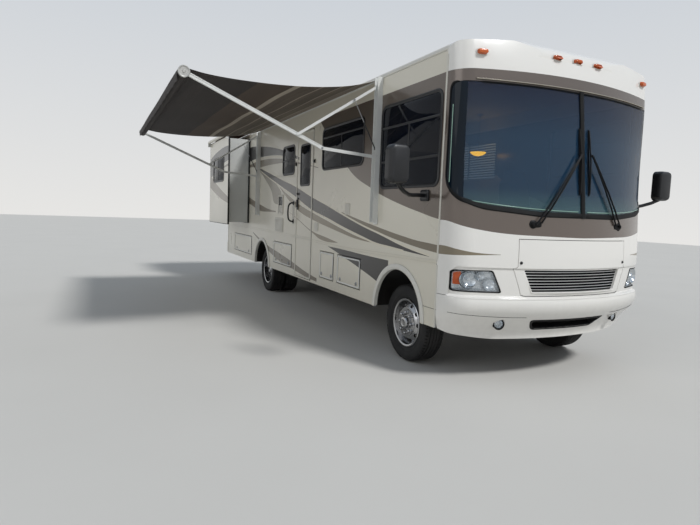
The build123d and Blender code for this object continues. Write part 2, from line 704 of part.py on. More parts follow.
HITCH_Z = 480.0
HITCH_MOUTH_Y = 8330.0
HITCH_BORE = 51.0
HITCH_WALL = 7.0
HITCH_PIN_RADIUS = 8.0
HITCH_PIN_Y = HITCH_MOUTH_Y - 65.0
HITCH_BEAM_Y = (7985.0, 8045.0)
HITCH_BEAM_HALF = 32.0
HITCH_CHEEK = 10.0
HITCH_BACK_Y = 8000.0
with BuildPart() as frame_cross_members:
    inner_x = RAIL_X - RAIL_WEB
    for y in CROSS_Y:
        across = (y - CROSS_HALF, y + CROSS_HALF)
        box_between((-inner_x, inner_x), across, (RAIL_Z[0] + RAIL_WEB, CROSS_TOP_Z))
    for side in (RIGHT, LEFT):
        for y in OUTRIGGER_Y:
            across = (y, y + OUTRIGGER_WIDTH)
            under_floor = (OUTRIGGER_Z, FLOOR_TOP_Z - FLOOR_THICK)
            box_between((side * RAIL_X, side * OUTRIGGER_X), across, under_floor)
            box_between((side * RAIL_X, side * (RAIL_X + RAIL_WEB)), across, OUTRIGGER_ROOT_Z)
    beam_z = (HITCH_Z - HITCH_BEAM_HALF, HITCH_Z + HITCH_BEAM_HALF)
    box_between((-RAIL_X, RAIL_X), HITCH_BEAM_Y, beam_z)
    cheek_y = (HITCH_BEAM_Y[0] - 25, HITCH_BEAM_Y[1] + 25)
    for side in (RIGHT, LEFT):
        box_between((side * (RAIL_X - HITCH_CHEEK), side * RAIL_X), cheek_y, (beam_z[0], RAIL_Z[0]))
    outer = HITCH_BORE / 2 + HITCH_WALL
    box_between((-outer, outer), (HITCH_BACK_Y, HITCH_MOUTH_Y), (HITCH_Z - outer, HITCH_Z + outer))
    hollow = HITCH_BORE / 2
    hollow_y = (HITCH_BACK_Y + 60, HITCH_MOUTH_Y + 1)
    hollow_z = (HITCH_Z - hollow, HITCH_Z + hollow)
    box_between((-hollow, hollow), hollow_y, hollow_z, mode=Mode.SUBTRACT)
    with BuildSketch(Plane(origin=(-outer - 1, 0, 0), x_dir=(0, 1, 0), z_dir=(1, 0, 0))):
        with Locations((HITCH_PIN_Y, HITCH_Z)):
            Circle(HITCH_PIN_RADIUS)
    extrude(amount=2 * outer + 2, mode=Mode.SUBTRACT)
finish(frame_cross_members, "frame_cross_members")


# Running gear
AXLE_Z = TYRE_RADIUS
EYE_RADIUS = 42.0
EYE_HALF = 55.0
KINGPIN_RADIUS = 20.0
SPINDLE_RADIUS = 34.0
KNUCKLE_ARM_REACH = 190.0
STUD_RADIUS = 12.0
FORK_GAP = 3.0
FORK_THICK = 30.0
FORK_X = (-40.0, 62.0, 92.0)
FORK_LOW_Z = AXLE_Z - EYE_HALF - FORK_GAP - FORK_THICK
TIE_ROD_Z = FORK_LOW_Z - 28.0
TIE_ROD_RADIUS = 14.0
TIE_ROD_EYE = 26.0
SPRING_X = 390.0
SPRING_WIDTH = 76.0
SPRING_LEAF = 16.0
SPRING_EYE_Z = 600.0
SPRING_EYE_RADIUS = 30.0
SPRING_HANGER_HALF = 50.0
SPRINGS = (
    # place along, height of the leaves' middle, half span, number of leaves
    (0.0, 458.0, 640.0, 4),
    (WHEELBASE, 540.0, 700.0, 5),
)
SPRING_PAD_HALF = 60.0


def leaf_spring(x, y, low, half_span, leaves):
    """Pack of bowed leaves under one rail, with hanger brackets up to the rail."""
    left_edge = Plane(origin=(x - SPRING_WIDTH / 2, 0, 0), x_dir=(0, 1, 0), z_dir=(1, 0, 0))
    hanger = Plane(origin=(x - SPRING_HANGER_HALF, 0, 0), x_dir=(0, 1, 0), z_dir=(1, 0, 0))
    with BuildPart() as spring:
        for number in range(leaves):
            reach = half_span * (1 - 0.16 * number)
            end_z = low - SPRING_LEAF * number + (SPRING_EYE_Z - low) * (reach / half_span) ** 2
            base = low - SPRING_LEAF * number
            under = end_z - SPRING_LEAF + 1
            with BuildSketch(left_edge):
                with BuildLine():
                    ThreePointArc((y - reach, end_z), (y, base), (y + reach, end_z))
                    Line((y + reach, end_z), (y + reach, under))
                    ThreePointArc((y + reach, under), (y, base - SPRING_LEAF), (y - reach, under))
                    Line((y - reach, under), (y - reach, end_z))
                make_face()
            extrude(amount=SPRING_WIDTH)
        for end_y in (y - half_span, y + half_span):
            with BuildSketch(hanger):
                with Locations((end_y, SPRING_EYE_Z)):
                    Circle(SPRING_EYE_RADIUS)
                with Locations((end_y, (SPRING_EYE_Z + RAIL_Z[0]) / 2)):
                    Rectangle(2 * SPRING_EYE_RADIUS - 10, RAIL_Z[0] - SPRING_EYE_Z)
            extrude(amount=2 * SPRING_HANGER_HALF)
    return spring.part


AXLE_BEAM = ((600, 378), (840, 464), (900, 464), (900, 374), (860, 374), (640, 300))
with BuildPart() as front_axle:
    with BuildSketch(Plane(origin=(0, 40, 0), x_dir=(1, 0, 0), z_dir=(0, -1, 0))):
        with BuildLine():
            Polyline(*mirrored(AXLE_BEAM), close=True)
        make_face()
    extrude(amount=80)
    for side in (RIGHT, LEFT):
        with BuildSketch(Plane.XY.offset(AXLE_Z - EYE_HALF)):
            with Locations((side * KINGPIN_X, 0)):
                Circle(EYE_RADIUS)
        extrude(amount=2 * EYE_HALF)
        with BuildSketch(Plane.XY.offset(AXLE_Z - 200)):
            with Locations((side * KINGPIN_X, 0)):
                Circle(KINGPIN_RADIUS + PIN_GAP)
        extrude(amount=400, mode=Mode.SUBTRACT)
        add(leaf_spring(side * SPRING_X, *SPRINGS[0]))
        pad_x = (side * SPRING_X - SPRING_PAD_HALF, side * SPRING_X + SPRING_PAD_HALF)
        box_between(pad_x, (-75, 75), (360, 470))
finish(front_axle, "front_axle")

AXLE_TUBE = (66.0, 640.0)
DIFFERENTIAL = (185.0, 150.0)


def axle_bar(radius, half_length):
    """Round bar across the coach on the rear axle's line."""
    return rod((-half_length, WHEELBASE, AXLE_Z), (half_length, WHEELBASE, AXLE_Z), radius)


with BuildPart() as rear_axle:
    add(axle_bar(*AXLE_TUBE))
    add(axle_bar(*DIFFERENTIAL))
    fillet(rear_axle.edges().filter_by(GeomType.CIRCLE).sort_by(SortBy.RADIUS)[-2:], 60)
    add(axle_bar(SPINDLE_RADIUS, TYRE_X))
    for side in (RIGHT, LEFT):
        add(leaf_spring(side * SPRING_X, *SPRINGS[1]))
        pad_x = (side * SPRING_X - SPRING_PAD_HALF, side * SPRING_X + SPRING_PAD_HALF)
        box_between(pad_x, (WHEELBASE - 90, WHEELBASE + 90), (AXLE_Z, 560))
finish(rear_axle, "rear_axle")


def knuckle(side):
    """Steering knuckle: fork round the axle's eye, kingpin, spindle and steering arm."""
    x = side * KINGPIN_X
    back, web, root = (x + side * place for place in FORK_X)
    top = (AXLE_Z + EYE_HALF + FORK_GAP, AXLE_Z + EYE_HALF + FORK_GAP + FORK_THICK)
    low = (FORK_LOW_Z, FORK_LOW_Z + FORK_THICK)
    with BuildPart() as piece:
        for z in (top, low):
            box_between((back, root), (-40, 40), z)
        box_between((web, root), (-60, 60), (low[0], top[1]))
        add(rod((x, 0, low[0]), (x, 0, top[1]), KINGPIN_RADIUS))
        add(rod((root - side * 12, 0, AXLE_Z), (x + side * 210, 0, AXLE_Z), SPINDLE_RADIUS))
        box_between((x - 15, x + 15), (0, KNUCKLE_ARM_REACH + 25), (low[0], low[1] - 4))
        stud_z = low[0] - 18
        add(rod((x, KNUCKLE_ARM_REACH, stud_z), (x, KNUCKLE_ARM_REACH, stud_z + 40), STUD_RADIUS))
    return piece


for side, name in ((RIGHT, "knuckle_right"), (LEFT, "knuckle_left")):
    finish(knuckle(side), name)

with BuildPart() as tie_rod:
    arm_y = KNUCKLE_ARM_REACH
    add(rod((-KINGPIN_X, arm_y, TIE_ROD_Z), (KINGPIN_X, arm_y, TIE_ROD_Z), TIE_ROD_RADIUS))
    for x in (-KINGPIN_X, KINGPIN_X):
        add(rod((x, arm_y, TIE_ROD_Z - 20), (x, arm_y, TIE_ROD_Z + 14), TIE_ROD_EYE))
        hole = rod((x, arm_y, TIE_ROD_Z - 42), (x, arm_y, TIE_ROD_Z + 28), STUD_RADIUS + 1 + PIN_GAP)
        add(hole, mode=Mode.SUBTRACT)
finish(tie_rod, "tie_rod")


def wheel_plane(x, y, side, outwards):
    """Plane across a wheel's axle, some way outwards from its middle, facing out."""
    return Plane(origin=(x + side * outwards, y, AXLE_Z), x_dir=(0, 1, 0), z_dir=(side, 0, 0))


def ring_profile(x, y, side, profile):
    """Turn an outline of (offset outwards, radius) about a wheel's axle."""
    hub = Plane(origin=(x, y, AXLE_Z), x_dir=(side, 0, 0), z_dir=(0, -side, 0))
    with BuildPart() as piece:
        with BuildSketch(hub):
            with BuildLine():
                Polyline(*profile, close=True)
            make_face()
        revolve(axis=Axis((x, y, AXLE_Z), (1, 0, 0)))
    return piece.part


def tyre(x, y, side):
    """Radial tyre: beads, bulging side walls and a gently crowned tread."""
    hub = Plane(origin=(x, y, AXLE_Z), x_dir=(side, 0, 0), z_dir=(0, -side, 0))
    half = TYRE_WIDTH / 2
    bead = 84.0
    foot = RIM_RADIUS + 1
    shoulder = TYRE_RADIUS - 12
    with BuildPart() as piece:
        with BuildSketch(hub):
            with BuildLine():
                Line((-bead, foot), (bead, foot))
                Line((bead, foot), (bead + 6, foot + 18))
                ThreePointArc((bead + 6, foot + 18), (half, foot + 85), (half - 14, shoulder))
                ThreePointArc((half - 14, shoulder), (0, TYRE_RADIUS), (-half + 14, shoulder))
                ThreePointArc((-half + 14, shoulder), (-half, foot + 85), (-bead - 6, foot + 18))
                Line((-bead - 6, foot + 18), (-bead, foot))
            make_face()
        revolve(axis=Axis((x, y, AXLE_Z), (1, 0, 0)))
    return piece.part


RIM_PROFILE = (
    (-100, RIM_RADIUS + 14),
    (-92, RIM_RADIUS + 14),
    (-92, RIM_RADIUS - 1),
    (92, RIM_RADIUS - 1),
    (92, RIM_RADIUS + 14),
    (100, RIM_RADIUS + 14),
    (100, RIM_RADIUS - 9),
    (-100, RIM_RADIUS - 9),
)
INNER_DISH = (
    (90, RIM_RADIUS - 8),
    (104, RIM_RADIUS - 8),
    (155, 165),
    (155, 35),
    (-130, 35),
    (-130, 150),
    (120, 150),
    (130, 165),
)


HAND_HOLES = (10, 193.0, 46.0, 30.0)
WHEEL_NUTS = (8, 112.0, 18.0, 28.0)
HUB_BORE = 66.5
DISC_THICK = 14.0


def disc_wheel(x, y, side, disc, hub_back, hub_face, bore_depth):
    """Steel disc wheel: rim, dished disc with hand holes, hub with its bore, and nuts."""
    low = disc - DISC_THICK
    holes, holes_radius, hole_length, hole_width = HAND_HOLES
    nuts, nuts_radius, nut_radius, nut_height = WHEEL_NUTS
    dish = (
        (disc - 60, RIM_RADIUS - 8),
        (disc - 46, RIM_RADIUS - 8),
        (disc, 165),
        (disc, 70),
        (hub_face, 62),
        (hub_face, 0),
        (hub_back, 0),
        (hub_back, 70),
        (low, 70),
        (low, 160),
    )
    with BuildPart() as piece:
        add(ring_profile(x, y, side, RIM_PROFILE))
        add(ring_profile(x, y, side, dish))
        with BuildSketch(wheel_plane(x, y, side, disc + 200)):
            with PolarLocations(holes_radius, holes):
                SlotOverall(hole_length, hole_width, rotation=90)
        extrude(amount=-(200 + 75), mode=Mode.SUBTRACT)
        with BuildSketch(wheel_plane(x, y, side, disc - 2)):
            with PolarLocations(nuts_radius, nuts):
                RegularPolygon(nut_radius, 6)
        extrude(amount=nut_height)
        with BuildSketch(wheel_plane(x, y, side, hub_back - 1)):
            Circle(SPINDLE_RADIUS + PIN_GAP)
        extrude(amount=bore_depth, mode=Mode.SUBTRACT)
    return piece.part


for side, name in ((RIGHT, "right"), (LEFT, "left")):
    with BuildPart() as front_tyre:
        add(tyre(side * TYRE_X, 0, side))
    finish(front_tyre, f"tyre_front_{name}")
    with BuildPart() as front_wheel:
        add(disc_wheel(side * TYRE_X, 0, side, 92, -50, 128, 116))
    finish(front_wheel, f"wheel_front_{name}")
    with BuildPart() as rear_tyres:
        add(tyre(side * TYRE_X, WHEELBASE, side))
        add(tyre(side * (TYRE_X - DUAL_SPACING), WHEELBASE, side))
    finish(rear_tyres, f"tyres_rear_{name}")
    with BuildPart() as rear_wheels:
        add(disc_wheel(side * TYRE_X, WHEELBASE, side, -50, -120, 60, 150))
        inner_x = side * (TYRE_X - DUAL_SPACING)
        add(ring_profile(inner_x, WHEELBASE, side, RIM_PROFILE))
        add(ring_profile(inner_x, WHEELBASE, side, INNER_DISH))
        for radius, depth in ((HUB_BORE, 36), (SPINDLE_RADIUS + PIN_GAP, DUAL_SPACING + 170)):
            with BuildSketch(wheel_plane(inner_x, WHEELBASE, side, -140)):
                Circle(radius)
            extrude(amount=depth, mode=Mode.SUBTRACT)
    finish(rear_wheels, f"wheels_rear_{name}")

# Power train: engine block, gearbox, propeller shaft and exhaust
GEARBOX = (
    # place along, height of the middle, radius
    (-110.0, 620.0, 200.0),
    (800.0, 600.0, 95.0),
)
ENGINE_HALF = 290.0
ENGINE_Y = (-900.0, -110.0)
ENGINE_Z = (520.0, 1040.0)
with BuildPart() as engine:
    box_between((-ENGINE_HALF, ENGINE_HALF), ENGINE_Y, ENGINE_Z)
    chamfer(engine.edges().filter_by(Axis.Y), 60)
    for y, z, radius in GEARBOX:
        with BuildSketch(Plane(origin=(0, y, z), x_dir=(1, 0, 0), z_dir=(0, 1, 0))):
            Circle(radius)
    loft()
finish(engine, "engine")

SHAFT_RADIUS = 48.0
SHAFT = ((0, 802, 600), (0, 3000, 560), (0, WHEELBASE - DIFFERENTIAL[0], 430))
EXHAUST_X = -222.0
EXHAUST_Z = 460.0
EXHAUST_RADIUS = 32.0
EXHAUST_Y = (-300.0, 2900.0, 3700.0, 4500.0)
SILENCER_RADIUS = 90.0
with BuildPart() as drive_line:
    for start, end in zip(SHAFT, SHAFT[1:]):
        add(rod(start, end, SHAFT_RADIUS))
    elbow, can_start, can_end, tail = ((EXHAUST_X, y, EXHAUST_Z) for y in EXHAUST_Y)
    manifold = (EXHAUST_X, EXHAUST_Y[0], EXHAUST_Z + 60)
    add(bent_rod((manifold, elbow, can_start), EXHAUST_RADIUS, 50))
    add(rod(can_start, can_end, SILENCER_RADIUS))
    add(rod(can_end, tail, EXHAUST_RADIUS))
finish(drive_line, "drive_line")

TANKS = (
    # front and rear edge, lower and upper edge
    ((6260.0, 7300.0), (560.0, 840.0)),
    ((2200.0, 3100.0), (770.0, 1040.0)),
)
TANK_HALF = 330.0
with BuildPart() as tanks:
    for y, z in TANKS:
        box_between((-TANK_HALF, TANK_HALF), y, z)
    chamfer(tanks.edges().filter_by(Axis.Y), 30)
finish(tanks, "tanks")

# Entry door, its window, and the storage bay doors
DOOR_THICK = 36.0
DOOR_FACE = HALF + 4.0
DOOR_CORNER = 40.0
with BuildPart() as entry_door:
    with BuildSketch(side_plane(RIGHT, DOOR_FACE)):
        side_rect(RIGHT, DOOR, 0, DOOR_CORNER)
    extrude(amount=-DOOR_THICK)
    with BuildSketch(side_plane(RIGHT, DOOR_FACE)):
        side_rect(RIGHT, DOOR_WINDOW, 0, DOOR_CORNER)
    extrude(amount=-DOOR_THICK, mode=Mode.SUBTRACT)
finish(entry_door, "entry_door")
with BuildPart() as entry_door_window:
    add(window_unit(RIGHT, DOOR_FACE, (DOOR_WINDOW,), 20.0, 7.0))
finish(entry_door_window, "entry_door_window")

BAY_DOOR_THICK = 26.0
BAY_DOOR_CORNER = 20.0
BAY_FRAME = (
    # drawn in from the door's edge, corner radius: outer and inner edge of the raised frame
    (12.0, 40.0),
    (34.0, 26.0),
)
BAY_FRAME_PROUD = 5.0


def bay_door(side, box):
    """Storage bay door: slab with a rounded raised frame."""
    with BuildPart() as door:
        with BuildSketch(side_plane(side, HALF)):
            side_rect(side, box, -BAY_GAP, BAY_DOOR_CORNER)
        extrude(amount=-BAY_DOOR_THICK)
        with BuildSketch(side_plane(side, HALF)):
            for (inset, corner), mode in zip(BAY_FRAME, (Mode.ADD, Mode.SUBTRACT)):
                side_rect(side, box, -BAY_GAP - inset, corner, mode)
        extrude(amount=BAY_FRAME_PROUD)
    return door


for side, name, bays in ((RIGHT, "right", RIGHT_BAYS), (LEFT, "left", LEFT_BAYS)):
    for number, box in enumerate(bays):
        finish(bay_door(side, box), f"bay_door_{name}_{number + 1}")

# Bedroom slide-out: a room open towards the coach, with a lapping outer face
TOPPER_Z = 3092.0
TOPPER_X = SLIDE_FACE_X + 34.0
TOPPER_RADIUS = 32.0
TOPPER_ENDS_Y = (SLIDE_OPENING[0] - 20.0, SLIDE_OPENING[1] + 20.0)
SLIDE_FLANGE = 20.0
with BuildPart() as slide_room:
    y0, y1, z0, z1 = SLIDE_OPENING
    inner = (y0 + SLIDE_GAP, y1 - SLIDE_GAP, z0 + SLIDE_GAP, z1 - SLIDE_GAP)
    back_x = HALF - WALL_THICK - 2 * SLIDE_FLANGE
    with BuildSketch(side_plane(RIGHT, back_x)):
        side_rect(RIGHT, inner)
    extrude(amount=SLIDE_FACE_X - back_x)
    with BuildSketch(side_plane(RIGHT, back_x)):
        side_rect(RIGHT, inner, -SLIDE_WALL)
    extrude(amount=SLIDE_FACE_X - SLIDE_FACE_THICK - back_x, mode=Mode.SUBTRACT)
    with BuildSketch(side_plane(RIGHT, SLIDE_FACE_X)):
        side_rect(RIGHT, SLIDE_OPENING, SLIDE_FACE_LAP, 12)
    extrude(amount=-SLIDE_FACE_THICK)
    with BuildSketch(side_plane(RIGHT, SLIDE_FACE_X)):
        side_rect(RIGHT, SLIDE_WINDOW, 0, WINDOW_CORNER)
    extrude(amount=-SLIDE_FACE_THICK, mode=Mode.SUBTRACT)
    with BuildSketch(side_plane(RIGHT, back_x)):
        side_rect(RIGHT, SLIDE_OPENING, SLIDE_FLANGE)
    extrude(amount=SLIDE_FLANGE)
    with BuildSketch(side_plane(RIGHT, back_x)):
        side_rect(RIGHT, inner, -SLIDE_WALL)
    extrude(amount=60, mode=Mode.SUBTRACT)
    for y in TOPPER_ENDS_Y:
        bracket_z = (TOPPER_Z - 102, TOPPER_Z + 24)
        box_between((-SLIDE_FACE_X - 60, -SLIDE_FACE_X), (y - 12, y + 12), bracket_z)
    front_end, rear_end = ((-TOPPER_X, y, TOPPER_Z) for y in TOPPER_ENDS_Y)
    add(rod(front_end, rear_end, TOPPER_RADIUS))
finish(slide_room, "slide_room")
with BuildPart() as slide_window:
    add(window_unit(RIGHT, SLIDE_FACE_X, (SLIDE_WINDOW,)))
finish(slide_window, "slide_window")

TOPPER_RAIL_Z = 3143.0
CLOTH = 3.0


def stretched_sheet(rail, roller, thick, y0, y1):
    """Flat cloth from a rail on the wall to the top of a roller, each as (distance out, height)."""
    with BuildPart() as sheet:
        with BuildSketch(Plane(origin=(0, y0, 0), x_dir=(1, 0, 0), z_dir=(0, 1, 0))):
            with BuildLine():
                Polyline(
                    (-rail[0], -rail[1]),
                    (-roller[0], -roller[1]),
                    (-roller[0], -roller[1] - thick),
                    (-rail[0], -rail[1] - thick),
                    close=True,
                )
            make_face()
        extrude(amount=y1 - y0)
    return sheet


topper_top = (TOPPER_X, TOPPER_Z + TOPPER_RADIUS + CLOTH)
topper_y = (SLIDE_OPENING[0] + 10, SLIDE_OPENING[1] - 10)
finish(stretched_sheet((HALF + 1, TOPPER_RAIL_Z), topper_top, CLOTH, *topper_y), "topper_fabric")

# Patio awning
LOWER_LAYER = (6.0, 17.0)
ARM_LAYER = (-11.0, 1.0)
UPPER_LAYER = (-26.0, -16.0)
STRUT_LEVEL = -38.0
CHANNEL_CHEEKS = (-54.0, 26.0)
CHANNEL_PINS = (
    # each pin stands on one cheek and ends with its own link, so the other links fold past it
    (CHANNEL_PIVOT, LOWER_LAYER[0], CHANNEL_CHEEKS[1]),
    (TOP_PIVOT, CHANNEL_CHEEKS[0], UPPER_LAYER[1]),
    (STRUT_FOOT, CHANNEL_CHEEKS[0], STRUT_LEVEL + 7),
)


def arm_line(start, end, layer, height, y):
    """Flat link between two pivots, lying in one layer across the awning's arm."""
    p = Vector(-start[0], 0, start[1])
    q = Vector(-end[0], 0, end[1])
    along = q - p
    plane = Plane(origin=(p.X, y + layer[0], p.Z), x_dir=along, z_dir=(0, 1, 0))
    with BuildPart() as link:
        with BuildSketch(plane):
            with Locations((along.length / 2, 0)):
                SlotOverall(along.length + height, height)
        extrude(amount=layer[1] - layer[0])
    return link.part


def cross_pin(point, y0, y1, radius):
    """Pin along Y at a pivot of the awning."""
    return rod((-point[0], y0, point[1]), (-point[0], y1, point[1]), radius)


with BuildPart() as awning_channels:
    for y in AWNING_Y:
        box_between((-HALF - 4, -HALF), (y + CHANNEL_CHEEKS[0], y + CHANNEL_CHEEKS[1]), CHANNEL_Z)
        for cheek in CHANNEL_CHEEKS:
            inner = cheek + 4 if cheek < 0 else cheek - 4
            box_between((-CHANNEL_X - 18, -HALF), (y + cheek, y + inner), CHANNEL_Z)
        for point, pin_start, pin_end in CHANNEL_PINS:
            add(cross_pin(point, y + pin_start, y + pin_end, 6))
finish(awning_channels, "awning_channels")

with BuildPart() as awning_lower_links:
    for y in AWNING_Y:
        add(arm_line(CHANNEL_PIVOT, ELBOW, LOWER_LAYER, 34, y))
        for point in (CHANNEL_PIVOT, ELBOW):
            add(cross_pin(point, y + 3, y + 22, 6 + PIN_GAP), mode=Mode.SUBTRACT)
finish(awning_lower_links, "awning_lower_links")

with BuildPart() as awning_arms:
    for y in AWNING_Y:
        add(arm_line(ELBOW, ROLLER, ARM_LAYER, 40, y))
        add(cross_pin(ELBOW, y - 5, y + LOWER_LAYER[1], 6))
        add(cross_pin(ROLLER, y - 14, y + 14, 30))
finish(awning_arms, "awning_arms")

with BuildPart() as awning_upper_links:
    for y in AWNING_Y:
        add(arm_line(TOP_PIVOT, ARM_JOINT, UPPER_LAYER, 28, y))
        add(cross_pin(TOP_PIVOT, y - 40, y, 6 + PIN_GAP), mode=Mode.SUBTRACT)
finish(awning_upper_links, "awning_upper_links")

strut_vector = (STRUT_EYE[0] - STRUT_FOOT[0], STRUT_EYE[1] - STRUT_FOOT[1])
strut_length = hypot(*strut_vector)
strut_unit = (strut_vector[0] / strut_length, strut_vector[1] / strut_length)


def on_strut(distance):
    """Point on the gas strut's line, counted from its foot."""
    return (STRUT_FOOT[0] + strut_unit[0] * distance, STRUT_FOOT[1] + strut_unit[1] * distance)


STRUT_TUBE_LENGTH = 320.0
STRUT_TUBE_RADIUS = 7.0
STRUT_BORE_RADIUS = 5.0
STRUT_ROD_LENGTH = 330.0
STRUT_ROD_RADIUS = 4.0
with BuildPart() as awning_strut_tubes:
    for y in AWNING_Y:
        level = y + STRUT_LEVEL
        foot, mouth = on_strut(0), on_strut(STRUT_TUBE_LENGTH)
        add(rod((-foot[0], level, foot[1]), (-mouth[0], level, mouth[1]), STRUT_TUBE_RADIUS))
        add(cross_pin(STRUT_FOOT, level - 7, level + 7, 12))
        add(cross_pin(STRUT_FOOT, level - 20, level + 20, 6 + PIN_GAP), mode=Mode.SUBTRACT)
        base, open_end = on_strut(14), on_strut(STRUT_TUBE_LENGTH + 1)
        bore = rod((-base[0], level, base[1]), (-open_end[0], level, open_end[1]), STRUT_BORE_RADIUS)
        add(bore, mode=Mode.SUBTRACT)
finish(awning_strut_tubes, "awning_strut_tubes")

with BuildPart() as awning_strut_rods:
    for y in AWNING_Y:
        level = y + STRUT_LEVEL
        tail, eye = on_strut(strut_length - STRUT_ROD_LENGTH), on_strut(strut_length)
        add(rod((-tail[0], level, tail[1]), (-eye[0], level, eye[1]), STRUT_ROD_RADIUS))
        add(cross_pin(STRUT_EYE, level - 7, level + 7, 10))
finish(awning_strut_rods, "awning_strut_rods")

with BuildPart() as awning_roller:
    ends = (AWNING_Y[0] + 20, AWNING_Y[1] - 20)
    add(rod((-ROLLER[0], ends[0], ROLLER[1]), (-ROLLER[0], ends[1], ROLLER[1]), ROLLER_RADIUS))
finish(awning_roller, "awning_roller")

FABRIC_WALL = (HALF + 3, 3098.0)
FABRIC_TOP = (ROLLER[0], ROLLER[1] + ROLLER_RADIUS + 6)
fabric_y = (AWNING_Y[0] + 40, AWNING_Y[1] - 70)
finish(stretched_sheet(FABRIC_WALL, FABRIC_TOP, FABRIC_THICK, *fabric_y), "awning_fabric")

# Cab: dashboard, steering wheel and seats
DASH_PROFILE = (
    # along, height
    (-1230.0, 1590.0),
    (-820.0, 1600.0),
    (-700.0, 1560.0),
    (-690.0, 1400.0),
    (-760.0, 1330.0),
    (-800.0, FLOOR_TOP_Z),
    (-1000.0, FLOOR_TOP_Z),
    (-1230.0, 1300.0),
)
DASH_HALF = 1150.0
STEERING_WHEEL = (520.0, -520.0, 1600.0)
STEERING_FOOT = (520.0, -780.0, 1440.0)
STEERING_RADII = (222.0, 196.0, 60.0)
STEERING_SPOKES = 3
with BuildPart() as dashboard:
    with BuildSketch(Plane(origin=(-DASH_HALF, 0, 0), x_dir=(0, 1, 0), z_dir=(1, 0, 0))):
        with BuildLine():
            Polyline(*DASH_PROFILE, close=True)
        make_face()
    extrude(amount=2 * DASH_HALF)
    add(cap_solid(34), mode=Mode.INTERSECT)
    with BuildSketch(Plane(origin=STEERING_WHEEL, x_dir=(1, 0, 0), z_dir=(0, 0.5, 0.86))):
        rim_outer, rim_inner, boss = STEERING_RADII
        Circle(rim_outer)
        Circle(rim_inner, mode=Mode.SUBTRACT)
        for number in range(STEERING_SPOKES):
            with Locations(Rotation(0, 0, 360 / STEERING_SPOKES * number)):
                Rectangle(40, rim_inner + 9, align=(Align.CENTER, Align.MIN))
        Circle(boss)
    extrude(amount=24)
    add(rod(STEERING_WHEEL, STEERING_FOOT, 32))
finish(dashboard, "dashboard")

SEAT_X = (-560.0, 560.0)
SEAT_HALF = 260.0
SEAT_Y = (-200.0, 320.0)
SEAT_Z = (1400.0, 1560.0)
SEAT_PEDESTAL = 130.0
SEAT_BACK = (
    # along, height
    (200.0, 1560.0),
    (320.0, 2240.0),
    (440.0, 2220.0),
    (370.0, 1470.0),
    (320.0, 1470.0),
    (320.0, 1560.0),
)
with BuildPart() as cab_seats:
    for x in SEAT_X:
        box_between((x - SEAT_PEDESTAL, x + SEAT_PEDESTAL), (-110, 250), (FLOOR_TOP_Z, SEAT_Z[0]))
        box_between((x - SEAT_HALF, x + SEAT_HALF), SEAT_Y, SEAT_Z)
        with BuildSketch(Plane(origin=(x - SEAT_HALF, 0, 0), x_dir=(0, 1, 0), z_dir=(1, 0, 0))):
            with BuildLine():
                Polyline(*SEAT_BACK, close=True)
            make_face()
        extrude(amount=2 * SEAT_HALF)
finish(cab_seats, "cab_seats")

# Mirrors, wipers, roof units and the rear ladder
MIRROR_FOOT = (-450.0, 1780.0)
MIRROR_KNEE = (HALF + 260.0, -580.0, 1770.0)
MIRROR_HEAD = (1790.0, -760.0, 2030.0)
MIRROR_SIZE = (200.0, 340.0, 120.0)
MIRROR_CORNER = 55.0
MIRROR_TUBE = 20.0
with BuildPart() as mirrors:
    for side in (RIGHT, LEFT):
        foot = (side * (HALF + 14), *MIRROR_FOOT)
        knee = (side * MIRROR_KNEE[0], *MIRROR_KNEE[1:])
        head = (side * MIRROR_HEAD[0], MIRROR_HEAD[1], MIRROR_HEAD[2] - MIRROR_SIZE[1] / 2 + 10)
        with BuildSketch(side_plane(side, HALF)):
            with Locations((side * MIRROR_FOOT[0], MIRROR_FOOT[1])):
                RectangleRounded(150, 110, 30)
        extrude(amount=24)
        add(rod(foot, knee, MIRROR_TUBE))
        add(rod(knee, head, MIRROR_TUBE))
        with Locations(knee):
            Sphere(MIRROR_TUBE)
        with BuildSketch(Plane.XZ.offset(-MIRROR_HEAD[1] - MIRROR_SIZE[2] / 2)):
            with Locations((side * MIRROR_HEAD[0], MIRROR_HEAD[2])):
                RectangleRounded(MIRROR_SIZE[0], MIRROR_SIZE[1], MIRROR_CORNER)
        extrude(amount=MIRROR_SIZE[2])
finish(mirrors, "mirrors")

WIPER_ARM = (12.0, 22.0)
WIPER_BLADE = (16.0, 14.0)
WIPER_BLADE_X = 110.0
with BuildPart() as wipers:
    for side in (RIGHT, LEFT):
        x, z = side * WIPER_PIVOT[0], WIPER_PIVOT[1]
        blade_x = side * WIPER_BLADE_X
        box_between((x - 29, x + 29), (-1225, -1160), (z - 23, z + 23))
        add(bar((x, -1222, z), (blade_x, -1205, 2190), *WIPER_ARM))
        add(bar((blade_x, -1215, 1830), (blade_x, -1150, 2440), *WIPER_BLADE))
finish(wipers, "wipers")

AIR_CONDITIONER = (
    # place along, width, length, corner, height over the roof
    (2900.0, 700.0, 1050.0, 90.0, 0.0),
    (2940.0, 560.0, 860.0, 80.0, 330.0),
)
ROOF_VENTS = (
    # place across and along, width, length, corner, height
    (-250.0, 4700.0, 400.0, 400.0, 30.0, 90.0),
    (250.0, 5900.0, 400.0, 400.0, 30.0, 90.0),
    (0.0, 7100.0, 400.0, 400.0, 30.0, 90.0),
    (-350.0, 1300.0, 220.0, 420.0, 40.0, 110.0),
)
with BuildPart() as roof_units:
    for y, width, length, corner, rise in AIR_CONDITIONER:
        with BuildSketch(Plane.XY.offset(ROOF_CROWN_Z + rise)):
            with Locations((0, y)):
                RectangleRounded(width, length, corner)
    loft()
    for x, y, width, length, corner, rise in ROOF_VENTS:
        with BuildSketch(Plane.XY.offset(ROOF_CROWN_Z)):
            with Locations((x, y)):
                RectangleRounded(width, length, corner)
        extrude(amount=rise)
